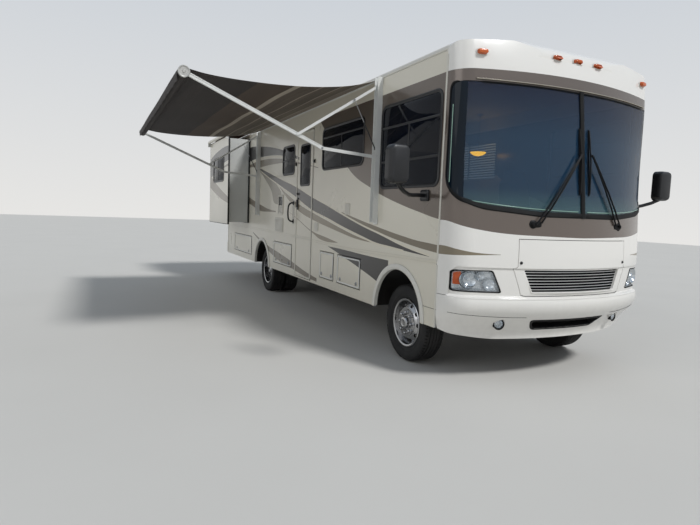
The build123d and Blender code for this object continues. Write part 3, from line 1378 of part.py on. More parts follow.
finish(roof_units, "roof_units")

LADDER_X = (560.0, 900.0)
LADDER_Z = (1180.0, 3330.0)
LADDER_STAND_OFF = 90.0
LADDER_ROOF_Y = REAR_Y - 340.0
LADDER_TUBE = 13.0
RUNG_Z = (1260.0, 300.0, 7)
with BuildPart() as ladder:
    stand_y = REAR_Y + LADDER_STAND_OFF
    for x in LADDER_X:
        route = (
            (x, REAR_Y, LADDER_Z[0]),
            (x, stand_y, LADDER_Z[0]),
            (x, stand_y, LADDER_Z[1]),
            (x, LADDER_ROOF_Y, LADDER_Z[1]),
            (x, LADDER_ROOF_Y, ROOF_CROWN_Z),
        )
        add(bent_rod(route, LADDER_TUBE, 50))
    first_z, pitch, rungs = RUNG_Z
    for number in range(rungs):
        z = first_z + pitch * number
        box_between(LADDER_X, (stand_y - 12, stand_y + 12), (z - 9, z + 9))
finish(ladder, "ladder")
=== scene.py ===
"""Looks of the motorhome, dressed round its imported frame.

Metres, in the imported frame: X across with the driver's side positive, the front along -Y, Z up.
Sizes in the sections are millimetres counted from the centre line, the front axle and the ground,
as on a builder's drawing, and spot() turns them into the frame.
"""
from math import atan2, cos, hypot, pi, radians, sin

import bmesh
import bpy
from mathutils import Matrix, Vector
from mathutils.bvhtree import BVHTree


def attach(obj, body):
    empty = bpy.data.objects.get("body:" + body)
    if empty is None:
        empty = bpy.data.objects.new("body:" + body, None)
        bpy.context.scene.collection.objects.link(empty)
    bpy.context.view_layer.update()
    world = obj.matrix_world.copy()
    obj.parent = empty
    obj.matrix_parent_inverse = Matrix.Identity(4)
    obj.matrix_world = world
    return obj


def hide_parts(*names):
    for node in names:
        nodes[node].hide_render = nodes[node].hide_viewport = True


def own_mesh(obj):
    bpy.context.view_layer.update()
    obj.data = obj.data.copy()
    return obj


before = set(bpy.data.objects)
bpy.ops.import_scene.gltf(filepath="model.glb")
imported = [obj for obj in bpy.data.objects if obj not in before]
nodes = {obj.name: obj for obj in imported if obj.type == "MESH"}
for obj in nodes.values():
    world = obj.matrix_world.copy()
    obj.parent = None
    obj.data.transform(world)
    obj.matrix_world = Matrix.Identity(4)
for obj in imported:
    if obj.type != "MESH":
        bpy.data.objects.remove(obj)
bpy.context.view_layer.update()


# Camera: held at chest height off the passenger's front corner, turned a little and tipped down.
# Its place and lens come from the coach's own edges in the photograph.
CENTRE_X, FRONT_AXLE_Y = 796, 3523
FOCAL_PIXELS, PHOTO_WIDTH, SENSOR = 531.28, 700, 36
EYE = (-4196, -4866, 1586)


def spot(x, y, z):
    """Point given in millimetres from the centre line, the front axle and the ground."""
    return Vector(((x + CENTRE_X) / 1000, (y - FRONT_AXLE_Y) / 1000, z / 1000))


turn, tip, roll = radians(-25.688), radians(5.362), radians(2.166)
forward = Vector((-sin(turn) * cos(tip), cos(turn) * cos(tip), -sin(tip)))
right = forward.cross(Vector((0, 0, 1))).normalized()
above = right.cross(forward)
camera_data = bpy.data.cameras.new("camera")
camera_data.sensor_width = SENSOR
camera_data.lens = FOCAL_PIXELS / PHOTO_WIDTH * SENSOR
camera_data.clip_end = 300
camera = bpy.data.objects.new("camera", camera_data)
bpy.context.scene.collection.objects.link(camera)
camera_x = cos(roll) * right + sin(roll) * above
camera_y = -sin(roll) * right + cos(roll) * above
camera.matrix_world = Matrix.Translation(spot(*EYE)) @ Matrix(
    (camera_x, camera_y, -forward)
).transposed().to_4x4()
bpy.context.scene.camera = camera
bpy.context.scene.view_settings.view_transform = "Standard"


# Studio: a pale seamless floor, a soft overhead sun and a pale room that only the camera and the
# gloss see at full strength. None of it belongs to the coach.
def linear(code):
    """Linear colour of an sRGB hex code."""
    parts = [int(code[place : place + 2], 16) / 255 for place in (1, 3, 5)]
    return [p / 12.92 if p <= 0.04045 else ((p + 0.055) / 1.055) ** 2.4 for p in parts] + [1.0]


def fill(node, inputs):
    """Sets inputs in order, or by name or place: a number, a hex colour or another's output."""
    for name, value in inputs.items() if isinstance(inputs, dict) else enumerate(inputs):
        if isinstance(value, bpy.types.NodeSocket):
            node.id_data.links.new(value, node.inputs[name])
        else:
            node.inputs[name].default_value = linear(value) if isinstance(value, str) else value


def add_node(tree, kind, inputs=(), **settings):
    """Adds one node with its settings and inputs, and returns its first live output."""
    node = tree.nodes.new(kind if "Node" in kind else "ShaderNode" + kind)
    for name, value in settings.items():
        setattr(node, name, value)
    fill(node, inputs)
    return next(output for output in node.outputs if output.enabled)


def new_material(name):
    """New material with one shader: (material, its tree, the shader)."""
    material = bpy.data.materials.new(name)
    material.use_nodes = True
    tree = material.node_tree
    return material, tree, tree.nodes["Principled BSDF"]


def new_object(name, points, faces):
    """Object at the origin with a mesh of its own, in metres."""
    mesh = bpy.data.meshes.new(name)
    mesh.from_pydata(points, [], faces)
    thing = bpy.data.objects.new(name, mesh)
    bpy.context.scene.collection.objects.link(thing)
    return thing


floor_paint, tree, shader = new_material("studio_floor_paint")
place = add_node(tree, "TexCoord").node.outputs["Object"]
mottle = add_node(tree, "TexNoise", {"Vector": place, "Scale": 0.6, "Detail": 3.0})
tone = add_node(tree, "Mix", {0: mottle, 6: "#c9c7c2", 7: "#cfcdc8"}, data_type="RGBA")
fill(shader, {"Base Color": tone, "Roughness": 0.9, "Specular IOR Level": 0.2})
FLOOR = [(-40, -40, 0), (40, -40, 0), (40, 60, 0), (-40, 60, 0)]
ground = new_object("studio_floor", FLOOR, [(0, 1, 2, 3)])
ground.data.materials.append(floor_paint)

world = bpy.data.worlds.new("studio_room")
bpy.context.scene.world = world
world.use_nodes = True
tree = world.node_tree
rays = add_node(tree, "LightPath").node.outputs
way = add_node(tree, "TexCoord").node.outputs["Generated"]
up = add_node(tree, "SeparateXYZ", (way,)).node.outputs["Z"]
height = add_node(tree, "MapRange", (up, -0.1, 0.7, 0.0, 1.0))
sky = add_node(tree, "Mix", {0: height, 6: "#f4f2ee", 7: "#b9c6d6"}, data_type="RGBA")
seen = add_node(tree, "Math", (rays["Is Camera Ray"], rays["Is Glossy Ray"]), operation="MAXIMUM")
power = add_node(tree, "MapRange", (seen, 0.0, 1.0, 0.55, 0.92))
fill(tree.nodes["Background"], {"Color": sky, "Strength": power})

LAMPS = (
    # name, strength, heading, tilt, spread
    ("key_sun", 2.2, 24, 42, 10),
    ("fill_sun", 0.35, -80, 62, 40),
)
for name, energy, heading, tilt, spread in LAMPS:
    lamp = bpy.data.lights.new(name, "SUN")
    lamp.energy = energy
    lamp.angle = radians(spread)
    holder = bpy.data.objects.new(name, lamp)
    holder.rotation_euler = (radians(tilt), 0, radians(heading))
    bpy.context.scene.collection.objects.link(holder)


# Side panels: laminated glass-fibre walls, lower skirts, doors and the slide-out's shell, sprayed
# cream and dressed with vinyl graphics that run on from panel to panel. The graphics are drawn by
# two edge lines each, as a sign maker plots them, so they meet across every door gap.
GRAPHICS = (
    # name, colour, upper edge (along, height), lower edge (along, height)
    (
        "rear_swoosh", "#25211f",
        (
            (3164, 2423), (3960, 2599), (4765, 2731), (5550, 2812), (6066, 2852), (6900, 2840),
            (7990, 2700),
        ),
        (
            (3161, 2384), (3953, 2510), (4752, 2576), (5533, 2589), (6044, 2571), (6900, 2480),
            (7990, 2240),
        ),
    ),
    (
        "rear_taupe", "#7b7161",
        (
            (2371, 2221), (3064, 2330), (3948, 2454), (4748, 2518), (5528, 2527), (6100, 2500),
            (7000, 2400),
        ),
        (
            (2370, 2210), (3061, 2305), (3944, 2390), (4737, 2405), (5521, 2405), (6100, 2440),
            (7000, 2385),
        ),
    ),
    (
        "leaf", "#8d8677",
        ((4053, 1902), (4429, 2080), (4720, 2179), (5116, 2280), (5516, 2374)),
        ((4053, 1700), (4429, 1706), (4600, 1905), (4979, 2126), (5515, 2360)),
    ),
    (
        "slide_swoosh", "#7b7161",
        ((4339, 1566), (4800, 1597), (5315, 1674), (6039, 1799), (6900, 2000), (7990, 2330)),
        ((4337, 1542), (4800, 1545), (5306, 1554), (6029, 1671), (6900, 1800), (7990, 2050)),
    ),
    (
        "sweep", "#25201e",
        (
            (-573, 1202), (-83, 1263), (403, 1353), (892, 1439), (1503, 1568), (1970, 1674),
            (2551, 1797), (3286, 1971), (4149, 2138), (4994, 2311), (5519, 2409),
        ),
        (
            (-575, 1189), (-88, 1210), (204, 1228), (524, 1247), (880, 1301), (1488, 1404),
            (1955, 1494), (2534, 1595), (3272, 1796), (4138, 2011), (4988, 2229), (5517, 2380),
        ),
    ),
    (
        "upper_tan", "#736955",
        (
            (-720, 1310), (-586, 1319), (-342, 1332), (-74, 1360), (219, 1396), (541, 1441),
            (897, 1492), (1505, 1592),
        ),
        (
            (-720, 1235), (-593, 1244), (-348, 1265), (-80, 1296), (214, 1336), (537, 1389),
            (893, 1450), (1504, 1581),
        ),
    ),
    (
        "lower_tan", "#857a65",
        (
            (626, 1252), (1069, 1304), (1485, 1371), (1951, 1456), (2532, 1564), (3131, 1690),
            (4138, 1985),
        ),
        (
            (625, 1245), (1066, 1267), (1480, 1314), (1945, 1376), (2523, 1459), (3126, 1583),
            (4138, 1975),
        ),
    ),
    (
        "small_tan", "#857a65",
        ((1601, 1183), (2030, 1232), (2508, 1286), (3114, 1442), (3600, 1560)),
        ((1601, 1178), (2179, 1184), (2507, 1262), (3114, 1430), (3600, 1555)),
    ),
    (
        "skirt_wedge", "#292522",
        ((219, 1076), (898, 1088), (1377, 1103), (1923, 1110)),
        ((219, 740), (503, 820), (882, 905), (1368, 1003), (1923, 1108)),
    ),
    (
        "rear_skirt", "#6e6454",
        ((2300, 610), (2700, 650), (3418, 749), (4042, 828), (4705, 905), (5828, 1116)),
        ((2300, 560), (2700, 575), (3409, 636), (4031, 689), (4701, 815), (5825, 1098)),
    ),
)
PINSTRIPES = (
    # thin cream lines that part the dark and tan fields
    GRAPHICS[4][2],
    (
        (-88, 1206), (204, 1224), (524, 1243), (880, 1297), (1488, 1398), (1955, 1488),
        (2534, 1589), (3272, 1790), (4138, 2005), (4988, 2223), (5517, 2374),
    ),
    ((2371, 2240), (3064, 2348), (3953, 2485), (4752, 2550), (5533, 2560), (6044, 2540)),
)
MASK_EDGE = (
    (-720, 1556), (-644, 1564), (-366, 1616), (-44, 1680), (509, 1817), (665, 1870), (1093, 2015),
    (1386, 2172), (1700, 2390), (2000, 2600), (2380, 2904),
)
LINE_START, LINE_SPAN, LINE_RISE = -1.5, 10.0, 4.0
HALF_PINSTRIPE = 0.011 / LINE_RISE


def edge_line(tree, along, points):
    """Height in metres of an edge line over the distance along the coach."""
    line = add_node(tree, "FloatCurve", {"Value": along}).node
    curve = line.mapping.curves[0]
    spots = [((y / 1000 - LINE_START) / LINE_SPAN, z / 1000 / LINE_RISE) for y, z in points]
    curve.points[0].location, curve.points[1].location = spots[0], spots[-1]
    for spot_on_line in spots[1:-1]:
        curve.points.new(*spot_on_line)
    line.mapping.extend = "HORIZONTAL"
    line.mapping.update()
    return line.outputs[0]


def coach_axes(tree):
    """Position, distance out from the centre line, along from the front axle, and height."""
    coords = add_node(tree, "TexCoord").node.outputs["Object"]
    axes = add_node(tree, "SeparateXYZ", (coords,)).node.outputs
    sideways = add_node(tree, "Math", (axes["X"], CENTRE_X / 1000), operation="SUBTRACT")
    out = add_node(tree, "Math", (sideways,), operation="ABSOLUTE")
    along = add_node(tree, "Math", (axes["Y"], FRONT_AXLE_Y / 1000), operation="ADD")
    return coords, out, along, axes["Z"]


def weathered(tree, shader, coords, height, colour, rough, dirt="#6d675c"):
    """Chalking, faint road dirt low down and an uneven polish over a painted colour."""
    cloud = add_node(tree, "TexNoise", {"Vector": coords, "Scale": 1.3, "Detail": 5.0})
    upright = add_node(tree, "Mapping", {"Vector": coords, "Scale": (22, 22, 1.2)})
    streak = add_node(tree, "TexNoise", {"Vector": upright, "Scale": 1.0, "Detail": 3.0})
    low = add_node(tree, "MapRange", (height, 1.0, 0.45, 0.0, 0.18))
    grime = add_node(tree, "Math", (low, streak), operation="MULTIPLY")
    chalk = add_node(tree, "Math", (cloud, 0.05, -0.015), operation="MULTIPLY_ADD")
    film = add_node(tree, "Math", (grime, chalk), operation="ADD", use_clamp=True)
    shown = add_node(tree, "Mix", {0: film, 6: colour, 7: dirt}, data_type="RGBA")
    gloss = add_node(tree, "Math", (cloud, 0.16, rough - 0.08), operation="MULTIPLY_ADD")
    peel = add_node(tree, "TexNoise", {"Vector": coords, "Scale": 9.0, "Detail": 2.0})
    relief = add_node(tree, "Bump", {"Strength": 0.05, "Distance": 0.01, "Height": peel})
    fill(shader, {"Base Color": shown, "Roughness": gloss, "Normal": relief})


def between(tree, value, low, high):
    """1 where a value lies between two others, else 0."""
    over = add_node(tree, "Math", (value, low), operation="GREATER_THAN")
    under = add_node(tree, "Math", (value, high), operation="LESS_THAN")
    return add_node(tree, "Math", (over, under), operation="MULTIPLY")


# cream acrylic enamel over glass fibre: an even gloss with a slight ripple from the layered skin
side_enamel, tree, shader = new_material("side_enamel_with_vinyl_graphics")
coords, out, along, height = coach_axes(tree)
line_place = add_node(tree, "MapRange", (along, LINE_START, LINE_START + LINE_SPAN, 0.0, 1.0))
line_height = add_node(tree, "Math", (height, LINE_RISE), operation="DIVIDE")
shade = "#d8d3c4"
for name, colour, upper, lower in GRAPHICS:
    edges = edge_line(tree, line_place, lower), edge_line(tree, line_place, upper)
    across = between(tree, line_height, *edges)
    length = between(tree, along, upper[0][0] / 1000, upper[-1][0] / 1000)
    inside = add_node(tree, "Math", (across, length), operation="MULTIPLY")
    shade = add_node(tree, "Mix", {0: inside, 6: shade, 7: colour}, data_type="RGBA")
for points in PINSTRIPES:
    offset = add_node(
        tree, "Math", (line_height, edge_line(tree, line_place, points)), operation="SUBTRACT"
    )
    across = between(tree, offset, -HALF_PINSTRIPE, HALF_PINSTRIPE)
    length = between(tree, along, points[0][0] / 1000, points[-1][0] / 1000)
    inside = add_node(tree, "Math", (across, length), operation="MULTIPLY")
    shade = add_node(tree, "Mix", {0: inside, 6: shade, 7: "#d9d2bf"}, data_type="RGBA")
brow = 2.905 / LINE_RISE
across = between(tree, line_height, edge_line(tree, line_place, MASK_EDGE), brow)
length = between(tree, along, -1.0, 2.38)
mask = add_node(tree, "Math", (across, length), operation="MULTIPLY")
shade = add_node(tree, "Mix", {0: mask, 6: shade, 7: "#655b52"}, data_type="RGBA")
normal = add_node(tree, "TexCoord").node.outputs["Normal"]
facing = add_node(tree, "SeparateXYZ", (normal,)).node.outputs
sideways = add_node(tree, "Math", (facing["Y"],), operation="ABSOLUTE")
plain = add_node(tree, "Math", (sideways, 0.7), operation="GREATER_THAN")
shade = add_node(tree, "Mix", {0: plain, 6: shade, 7: "#c4c5c2"}, data_type="RGBA")
# faces set in from the wall below 1.2 m, inside the arches and behind the skirts, are painted
# near-black
inner = add_node(tree, "Math", (out, 1.262), operation="LESS_THAN")
low_down = add_node(tree, "Math", (height, 1.2), operation="LESS_THAN")
inset_low_faces = add_node(tree, "Math", (inner, low_down), operation="MULTIPLY")
shade = add_node(tree, "Mix", {0: inset_low_faces, 6: shade, 7: "#1b1b1c"}, data_type="RGBA")
weathered(tree, shader, coords, height, shade, 0.3)
flake = add_node(tree, "Math", (mask, 0.35), operation="MULTIPLY")
fill(shader, {"IOR": 1.5, "Coat Weight": 0.35, "Coat Roughness": 0.12, "Metallic": flake})
PANELS = (
    "wall_right", "wall_left", "skirt_right", "skirt_left", "entry_door", "slide_room",
    "bay_door_right_1", "bay_door_right_2", "bay_door_right_3", "bay_door_right_4",
    "bay_door_left_1", "bay_door_left_2",
)


def dress(names, material):
    """Gives CAD nodes their material in place of the plain one."""
    for node_name in names:
        mesh = nodes[node_name].data
        mesh.materials.clear()
        mesh.materials.append(material)


dress(PANELS, side_enamel)


# Front moulding, hood and bumper: white gelcoat from a mould, with the taupe metallic band round
# the windscreen and the tail of one tan stripe on each corner.
CAP_MASK_EDGE = (
    (0, 1424), (426, 1433), (820, 1447), (1014, 1469), (1178, 1502), (1240, 1528), (1283, 1552),
    (1400, 1560),
)
CAP_TAIL_UPPER = (
    (870, 1257), (958, 1259), (1037, 1263), (1136, 1274), (1226, 1294), (1283, 1318), (1400, 1330),
)
CAP_TAIL_LOWER = ((870, 1253), (1005, 1247), (1136, 1241), (1225, 1236), (1283, 1233), (1400, 1233))
front_gelcoat, tree, shader = new_material("front_gelcoat_white")
coords, out, along, height = coach_axes(tree)
line_place = add_node(tree, "MapRange", (out, LINE_START, LINE_START + LINE_SPAN, 0.0, 1.0))
line_height = add_node(tree, "Math", (height, LINE_RISE), operation="DIVIDE")
edges = edge_line(tree, line_place, CAP_TAIL_LOWER), edge_line(tree, line_place, CAP_TAIL_UPPER)
across = between(tree, line_height, *edges)
length = between(tree, out, 0.87, 1.4)
tail = add_node(tree, "Math", (across, length), operation="MULTIPLY")
fall = add_node(tree, "Math", (out, out), operation="MULTIPLY")
brow = add_node(
    tree, "Math", (fall, -0.015 / LINE_RISE, 2.93 / LINE_RISE), operation="MULTIPLY_ADD",
)
mask = between(tree, line_height, edge_line(tree, line_place, CAP_MASK_EDGE), brow)
shade = add_node(tree, "Mix", {0: tail, 6: "#e6e4df", 7: "#7d735f"}, data_type="RGBA")
shade = add_node(tree, "Mix", {0: mask, 6: shade, 7: "#6b615a"}, data_type="RGBA")
weathered(tree, shader, coords, height, shade, 0.22)
flake = add_node(tree, "Math", (mask, 0.45), operation="MULTIPLY")
fill(shader, {"IOR": 1.5, "Coat Weight": 0.5, "Coat Roughness": 0.08, "Metallic": flake})
dress(("front_cap", "hood_panel", "front_bumper"), front_gelcoat)

# Roof and rear moulding: a white rubber membrane glued over the roof, and cream gelcoat behind
# with a dark band at window height.
roof_membrane, tree, shader = new_material("roof_membrane_white")
coords, out, along, height = coach_axes(tree)
weathered(tree, shader, coords, height, "#d9d7d0", 0.6)
dress(("roof",), roof_membrane)
rear_gelcoat, tree, shader = new_material("rear_gelcoat_cream")
coords, out, along, height = coach_axes(tree)
band = between(tree, height, 2.45, 2.86)
shade = add_node(tree, "Mix", {0: band, 6: "#dcd7c9", 7: "#4a4540"}, data_type="RGBA")
weathered(tree, shader, coords, height, shade, 0.3)
shader.inputs["IOR"].default_value = 1.5
dress(("rear_cap",), rear_gelcoat)


# Windows: dark safety glass in black aluminium frames, clamped round openings in the walls. The
# cab's windows have a fixed upper pane and a sliding one behind an upright bar.
def plain_finish(
    name, colour, rough, metallic=0.0, grain=40.0, relief=0.1, spread=0.12, specular=0.5
):
    """A finish with a little uneven tone and a fine surface: colour, roughness, metal, grain."""
    material, tree, shader = new_material(name)
    coords = add_node(tree, "TexCoord").node.outputs["Object"]
    cloud = add_node(tree, "TexNoise", {"Vector": coords, "Scale": grain * 0.2, "Detail": 4.0})
    fine = add_node(tree, "TexNoise", {"Vector": coords, "Scale": grain, "Detail": 2.0})
    dark = [p * (1 - spread * 2) for p in linear(colour)[:3]] + [1.0]
    shown = add_node(tree, "Mix", {0: cloud, 6: dark, 7: linear(colour)}, data_type="RGBA")
    gloss = add_node(
        tree, "Math", (cloud, 0.2, rough - 0.1), operation="MULTIPLY_ADD", use_clamp=True,
    )
    bump = add_node(tree, "Bump", {"Strength": relief, "Distance": 0.002, "Height": fine})
    fill(shader, {
        "Base Color": shown, "Roughness": gloss, "Normal": bump, "Metallic": metallic,
        "Specular IOR Level": specular,
    })
    return material


def glossy_finish(name, scale, detail, tones, roughest, values):
    """Glass or a lens: a thin film of uneven tone and polish over the shader's other values."""
    material, tree, shader = new_material(name)
    coords = add_node(tree, "TexCoord").node.outputs["Object"]
    film = add_node(tree, "TexNoise", {"Vector": coords, "Scale": scale, "Detail": detail})
    shown = add_node(tree, "Mix", {0: film, 6: tones[0], 7: tones[1]}, data_type="RGBA")
    smear = add_node(tree, "MapRange", (film, 0.3, 0.8, 0.02, roughest))
    fill(shader, {"Base Color": shown, "Roughness": smear, **values})
    return material


def skin(rows, round_rows=False, round_columns=True):
    """Points and quads of a grid of points that may close round in either direction."""
    high, wide = len(rows), len(rows[0])
    faces = []
    for i in range(high if round_rows else high - 1):
        for j in range(wide if round_columns else wide - 1):
            beside, over = (j + 1) % wide, (i + 1) % high
            faces.append((i * wide + j, i * wide + beside, over * wide + beside, over * wide + j))
    return [point for row in rows for point in row], faces


def capped(rows):
    """Closed solid through rings of points, with a flat face on each end."""
    points, faces = skin(rows)
    wide = len(rows[0])
    return points, faces + [tuple(range(wide)), tuple(range(len(points) - wide, len(points)))]


def joined(shapes):
    """One shape out of several: (points, faces)."""
    points, faces = [], []
    for some_points, some_faces in shapes:
        faces += [tuple(len(points) + n for n in face) for face in some_faces]
        points += some_points
    return points, faces


def rounded(box, radius, grow=0.0, steps=6):
    """Round-cornered rectangle given by two edges each way, grown all round."""
    a0, a1, b0, b1 = box[0] - grow, box[1] + grow, box[2] - grow, box[3] + grow
    radius = max(radius + grow, 1.0)
    middles = (
        (a1 - radius, b1 - radius), (a0 + radius, b1 - radius), (a0 + radius, b0 + radius),
        (a1 - radius, b0 + radius),
    )
    return [
        (
            a + radius * cos(pi / 2 * (k / steps + corner)),
            b + radius * sin(pi / 2 * (k / steps + corner)),
        )
        for corner, (a, b) in enumerate(middles)
        for k in range(steps + 1)
    ]


def on_wall(side, wall):
    """Turns (along, height, distance out) into a point on a side wall."""
    return lambda y, z, out: (side * (wall + out), y, z)


def rings_of(box, radius, levels, place, steps):
    """Rounded rings of (grown by, distance out), set in their place."""
    return [
        [place(a, b, out) for a, b in rounded(box, radius, grow, steps)] for grow, out in levels
    ]


def pressed(box, radius, levels, place, steps=6):
    """Slab with a shaped edge: rings of (grown by, distance out), closed by flat faces."""
    return capped(rings_of(box, radius, levels, place, steps))


def framed(box, radius, levels, place, steps=6):
    """Frame with an open middle: rings of (grown by, distance out) that close on themselves."""
    return skin(rings_of(box, radius, levels, place, steps), True)


def turn_outwards(mesh, merge):
    """Points a mesh's faces outwards, after merging its doubles where asked."""
    form = bmesh.new()
    form.from_mesh(mesh)
    if merge:
        bmesh.ops.remove_doubles(form, verts=form.verts, dist=1e-6)
    bmesh.ops.recalc_face_normals(form, faces=form.faces)
    form.to_mesh(mesh)
    form.free()


def make_piece(name, shape, material, body="coach"):
    """Makes a piece from one shape or several, in millimetres, and ties it to a body."""
    points, faces = joined(shape) if isinstance(shape, list) else shape
    piece = new_object(name, [spot(*p) for p in points], faces)
    turn_outwards(piece.data, True)
    piece.data.shade_smooth()
    piece.data.set_sharp_from_angle(angle=radians(35))
    piece.data.materials.append(material)
    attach(piece, body)
    return piece


# black powder coat on aluminium: an even satin skin with a fine grain
frame_black = plain_finish(
    "powder_coated_aluminium_black", "#17181b", 0.38, grain=120.0, relief=0.08,
)
# grey tinted safety glass: dark, hard and glossy, with the room's reflection on it
tinted_glass = glossy_finish(
    "tinted_safety_glass", 3.0, 4.0, ("#0a0d13", "#121722"), 0.07,
    {"IOR": 1.52, "Alpha": 0.9, "Specular IOR Level": 0.18},
)
WALL, DOOR_WALL, SLIDE_WALL = 1282.5, 1286.5, 1742
PANES = {
    # body: wall face, stands proud, frame's width, corner, node that the glass stands for
    "coach": (WALL, 9, 26, 70, "side_windows"),
    "slide_out": (SLIDE_WALL, 9, 26, 70, "slide_window"),
    "door_entry": (DOOR_WALL, 7, 20, 40, "entry_door_window"),
}
CAB_BOX = (-650, 470, 1885, 2752)
CAB_BARS = ((-642, 462, 2516, 2540), (-642, 462, 2142, 2168), (-100, -78, 2168, 2516))
WINDOWS = (
    # name, body, side, opening, bars
    ("cab_window_right", "coach", -1, CAB_BOX, CAB_BARS),
    ("cab_window_left", "coach", 1, CAB_BOX, CAB_BARS),
    (
        "lounge_window_right", "coach", -1, (940, 2200, 2185, 2727),
        ((948, 2192, 2600, 2622), (1560, 1582, 2193, 2600)),
    ),
    ("galley_window_right", "coach", -1, (3400, 3970, 2190, 2630), ((3408, 3962, 2400, 2420),)),
    ("dinette_window_left", "coach", 1, (1500, 2760, 2185, 2727), ((2118, 2142, 2193, 2719),)),
    ("lounge_window_left", "coach", 1, (3300, 4300, 2190, 2630), ((3788, 3812, 2198, 2622),)),
    ("bedroom_window_left", "coach", 1, (6500, 7300, 2170, 2660), ((6888, 6912, 2178, 2652),)),
    ("slide_out_window", "slide_out", -1, (6570, 7600, 2170, 2660), ((7073, 7097, 2178, 2652),)),
    ("entry_door_window", "door_entry", -1, (2690, 3080, 1984, 2590), ()),
)
for name, body, side, box, bars in WINDOWS:
    wall, proud, grow, corner, node = PANES[body]
    place = on_wall(side, wall)
    ring = (
        (grow, 0), (grow, proud - 4), (grow - 5, proud), (2, proud), (-8, 4), (-8, -6), (0, -6),
        (0, 0),
    )
    shapes = [framed(box, corner, ring, place)]
    for bar in bars:
        shapes.append(pressed(bar, 3, ((-3, -5), (0, -3), (0, 3), (-4, 6)), place, 2))
    make_piece(f"{name}_frame", shapes, frame_black, body)
    pane = pressed(box, corner, ((-7, -5), (-5, -4), (-5, -1), (-7, 0)), place)
    glass = make_piece(f"{name}_glass", pane, tinted_glass, body)
    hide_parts(node)


# Windscreen: two curved panes of laminated glass, green at the bottom edge with a painted
# reflection of the sky in blue further up, that wrap the corners over a black printed band. They
# are bonded into the moulding, sealed by a black rubber gasket and parted by a centre bar.
NOSE_END, FAR_AHEAD, SEARCH_STEP = -750, -2200, 12


def tree_of(*names):
    """Ray tree over the frame's own panels."""
    points, faces = [], []
    for node_name in names:
        mesh = nodes[node_name].data
        faces += [tuple(len(points) + n for n in face.vertices) for face in mesh.polygons]
        points += [vertex.co.copy() for vertex in mesh.vertices]
    return BVHTree.FromPolygons(points, faces)


front_tree = tree_of(
    "front_cap", "windscreen", "hood_panel", "front_bumper", "headlamps", "signal_lamps",
)


def front_spot(x, z, rise=0.0):
    """Point on the front's outer skin over a width and a height, raised along its normal.

    Over an opening or a joint the nearest skin beside, above or below it is taken.
    """
    hit, reach = None, 0
    while hit is None:
        for across, up in ((0, 0), (reach, 0), (-reach, 0), (0, reach), (0, -reach)):
            start = spot(x + across, FAR_AHEAD, z + up)
            hit, normal = front_tree.ray_cast(start, Vector((0, 1, 0)))[:2]
            if hit is not None and hit.y > spot(0, NOSE_END, 0).y:
                hit = None
            if hit is not None:
                break
        reach += SEARCH_STEP
    if normal.y > 0:
        normal = -normal
    return x + normal.x * rise, hit.y * 1000 + FRONT_AXLE_Y + normal.y * rise, z + normal.z * rise


def mitred(points, grow):
    """Closed outline grown outwards by its edges."""
    count = len(points)
    centre_x, centre_z = sum(p[0] for p in points) / count, sum(p[1] for p in points) / count
    result = []
    for k in range(count):
        before, here, after = (Vector(points[n % count]) for n in (k - 1, k, k + 1))
        normals = []
        for start, end in ((before, here), (here, after)):
            way = (end - start).normalized()
            normal = Vector((way.y, -way.x))
            if normal.dot(start - Vector((centre_x, centre_z))) < 0:
                normal = -normal
            normals.append(normal)
        bisector = (normals[0] + normals[1]).normalized()
        result.append(tuple(here + bisector * (grow / max(bisector.dot(normals[0]), 0.3))))
    return result


def softened(points, cut, runs=10, steps=5):
    """Closed outline with its corners turned into bends and its straights divided evenly."""
    count = len(points)
    result = []
    for k in range(count):
        before, here, after = (Vector(points[n % count]) for n in (k - 1, k, k + 1))
        reach = min(cut, (here - before).length * 0.45, (after - here).length * 0.45)
        start = here + (before - here).normalized() * reach
        end = here + (after - here).normalized() * reach
        result += [
            tuple((1 - t) ** 2 * start + 2 * t * (1 - t) * here + t * t * end)
            for t in [n / steps for n in range(steps + 1)]
        ]
        following = Vector(points[(k + 2) % count])
        next_reach = min(cut, (after - here).length * 0.45, (following - after).length * 0.45)
        goal = after + (here - after).normalized() * next_reach
        result += [tuple(end.lerp(goal, n / runs)) for n in range(1, runs)]
    return result


def front_rings(points, levels, runs=10):
    """Rings on the front's skin from an outline: (grown by, corner cut, raised by)."""
    return [
        [front_spot(x, z, rise) for x, z in softened(mitred(points, grow), cut, runs)]
        for grow, cut, rise in levels
    ]


def tube(points, radius, steps=12, flat=1.0):
    """Bar that follows points, round or flattened, with closed ends."""
    points = [Vector(p) for p in points]
    rows = []
    across = None
    for k, here in enumerate(points):
        way = (points[min(k + 1, len(points) - 1)] - points[max(k - 1, 0)]).normalized()
        across = way.orthogonal() if across is None else across - way * across.dot(way)
        across.normalize()
        other = way.cross(across)
        ring = [2 * pi * n / steps for n in range(steps)]
        rows.append([
            here + across * radius * cos(a) + other * radius * flat * sin(a) for a in ring
        ])
    return capped(rows)


def both_sides(points):
    """Outline of one side followed by the same points mirrored."""
    return list(points) + [(-x, z) for x, z in reversed(points)]


# extruded rubber: soft black with a dull sheen and a little chalking
gasket_rubber = plain_finish(
    "windscreen_gasket_rubber", "#0b0c0d", 0.6, grain=60.0, relief=0.12, specular=0.2
)
# the corner's middle, where the rays to its skin start, and how far out the front's part ends
CORNER_X, CORNER_Y, CORNER_FROM = 1040, -700, 1200


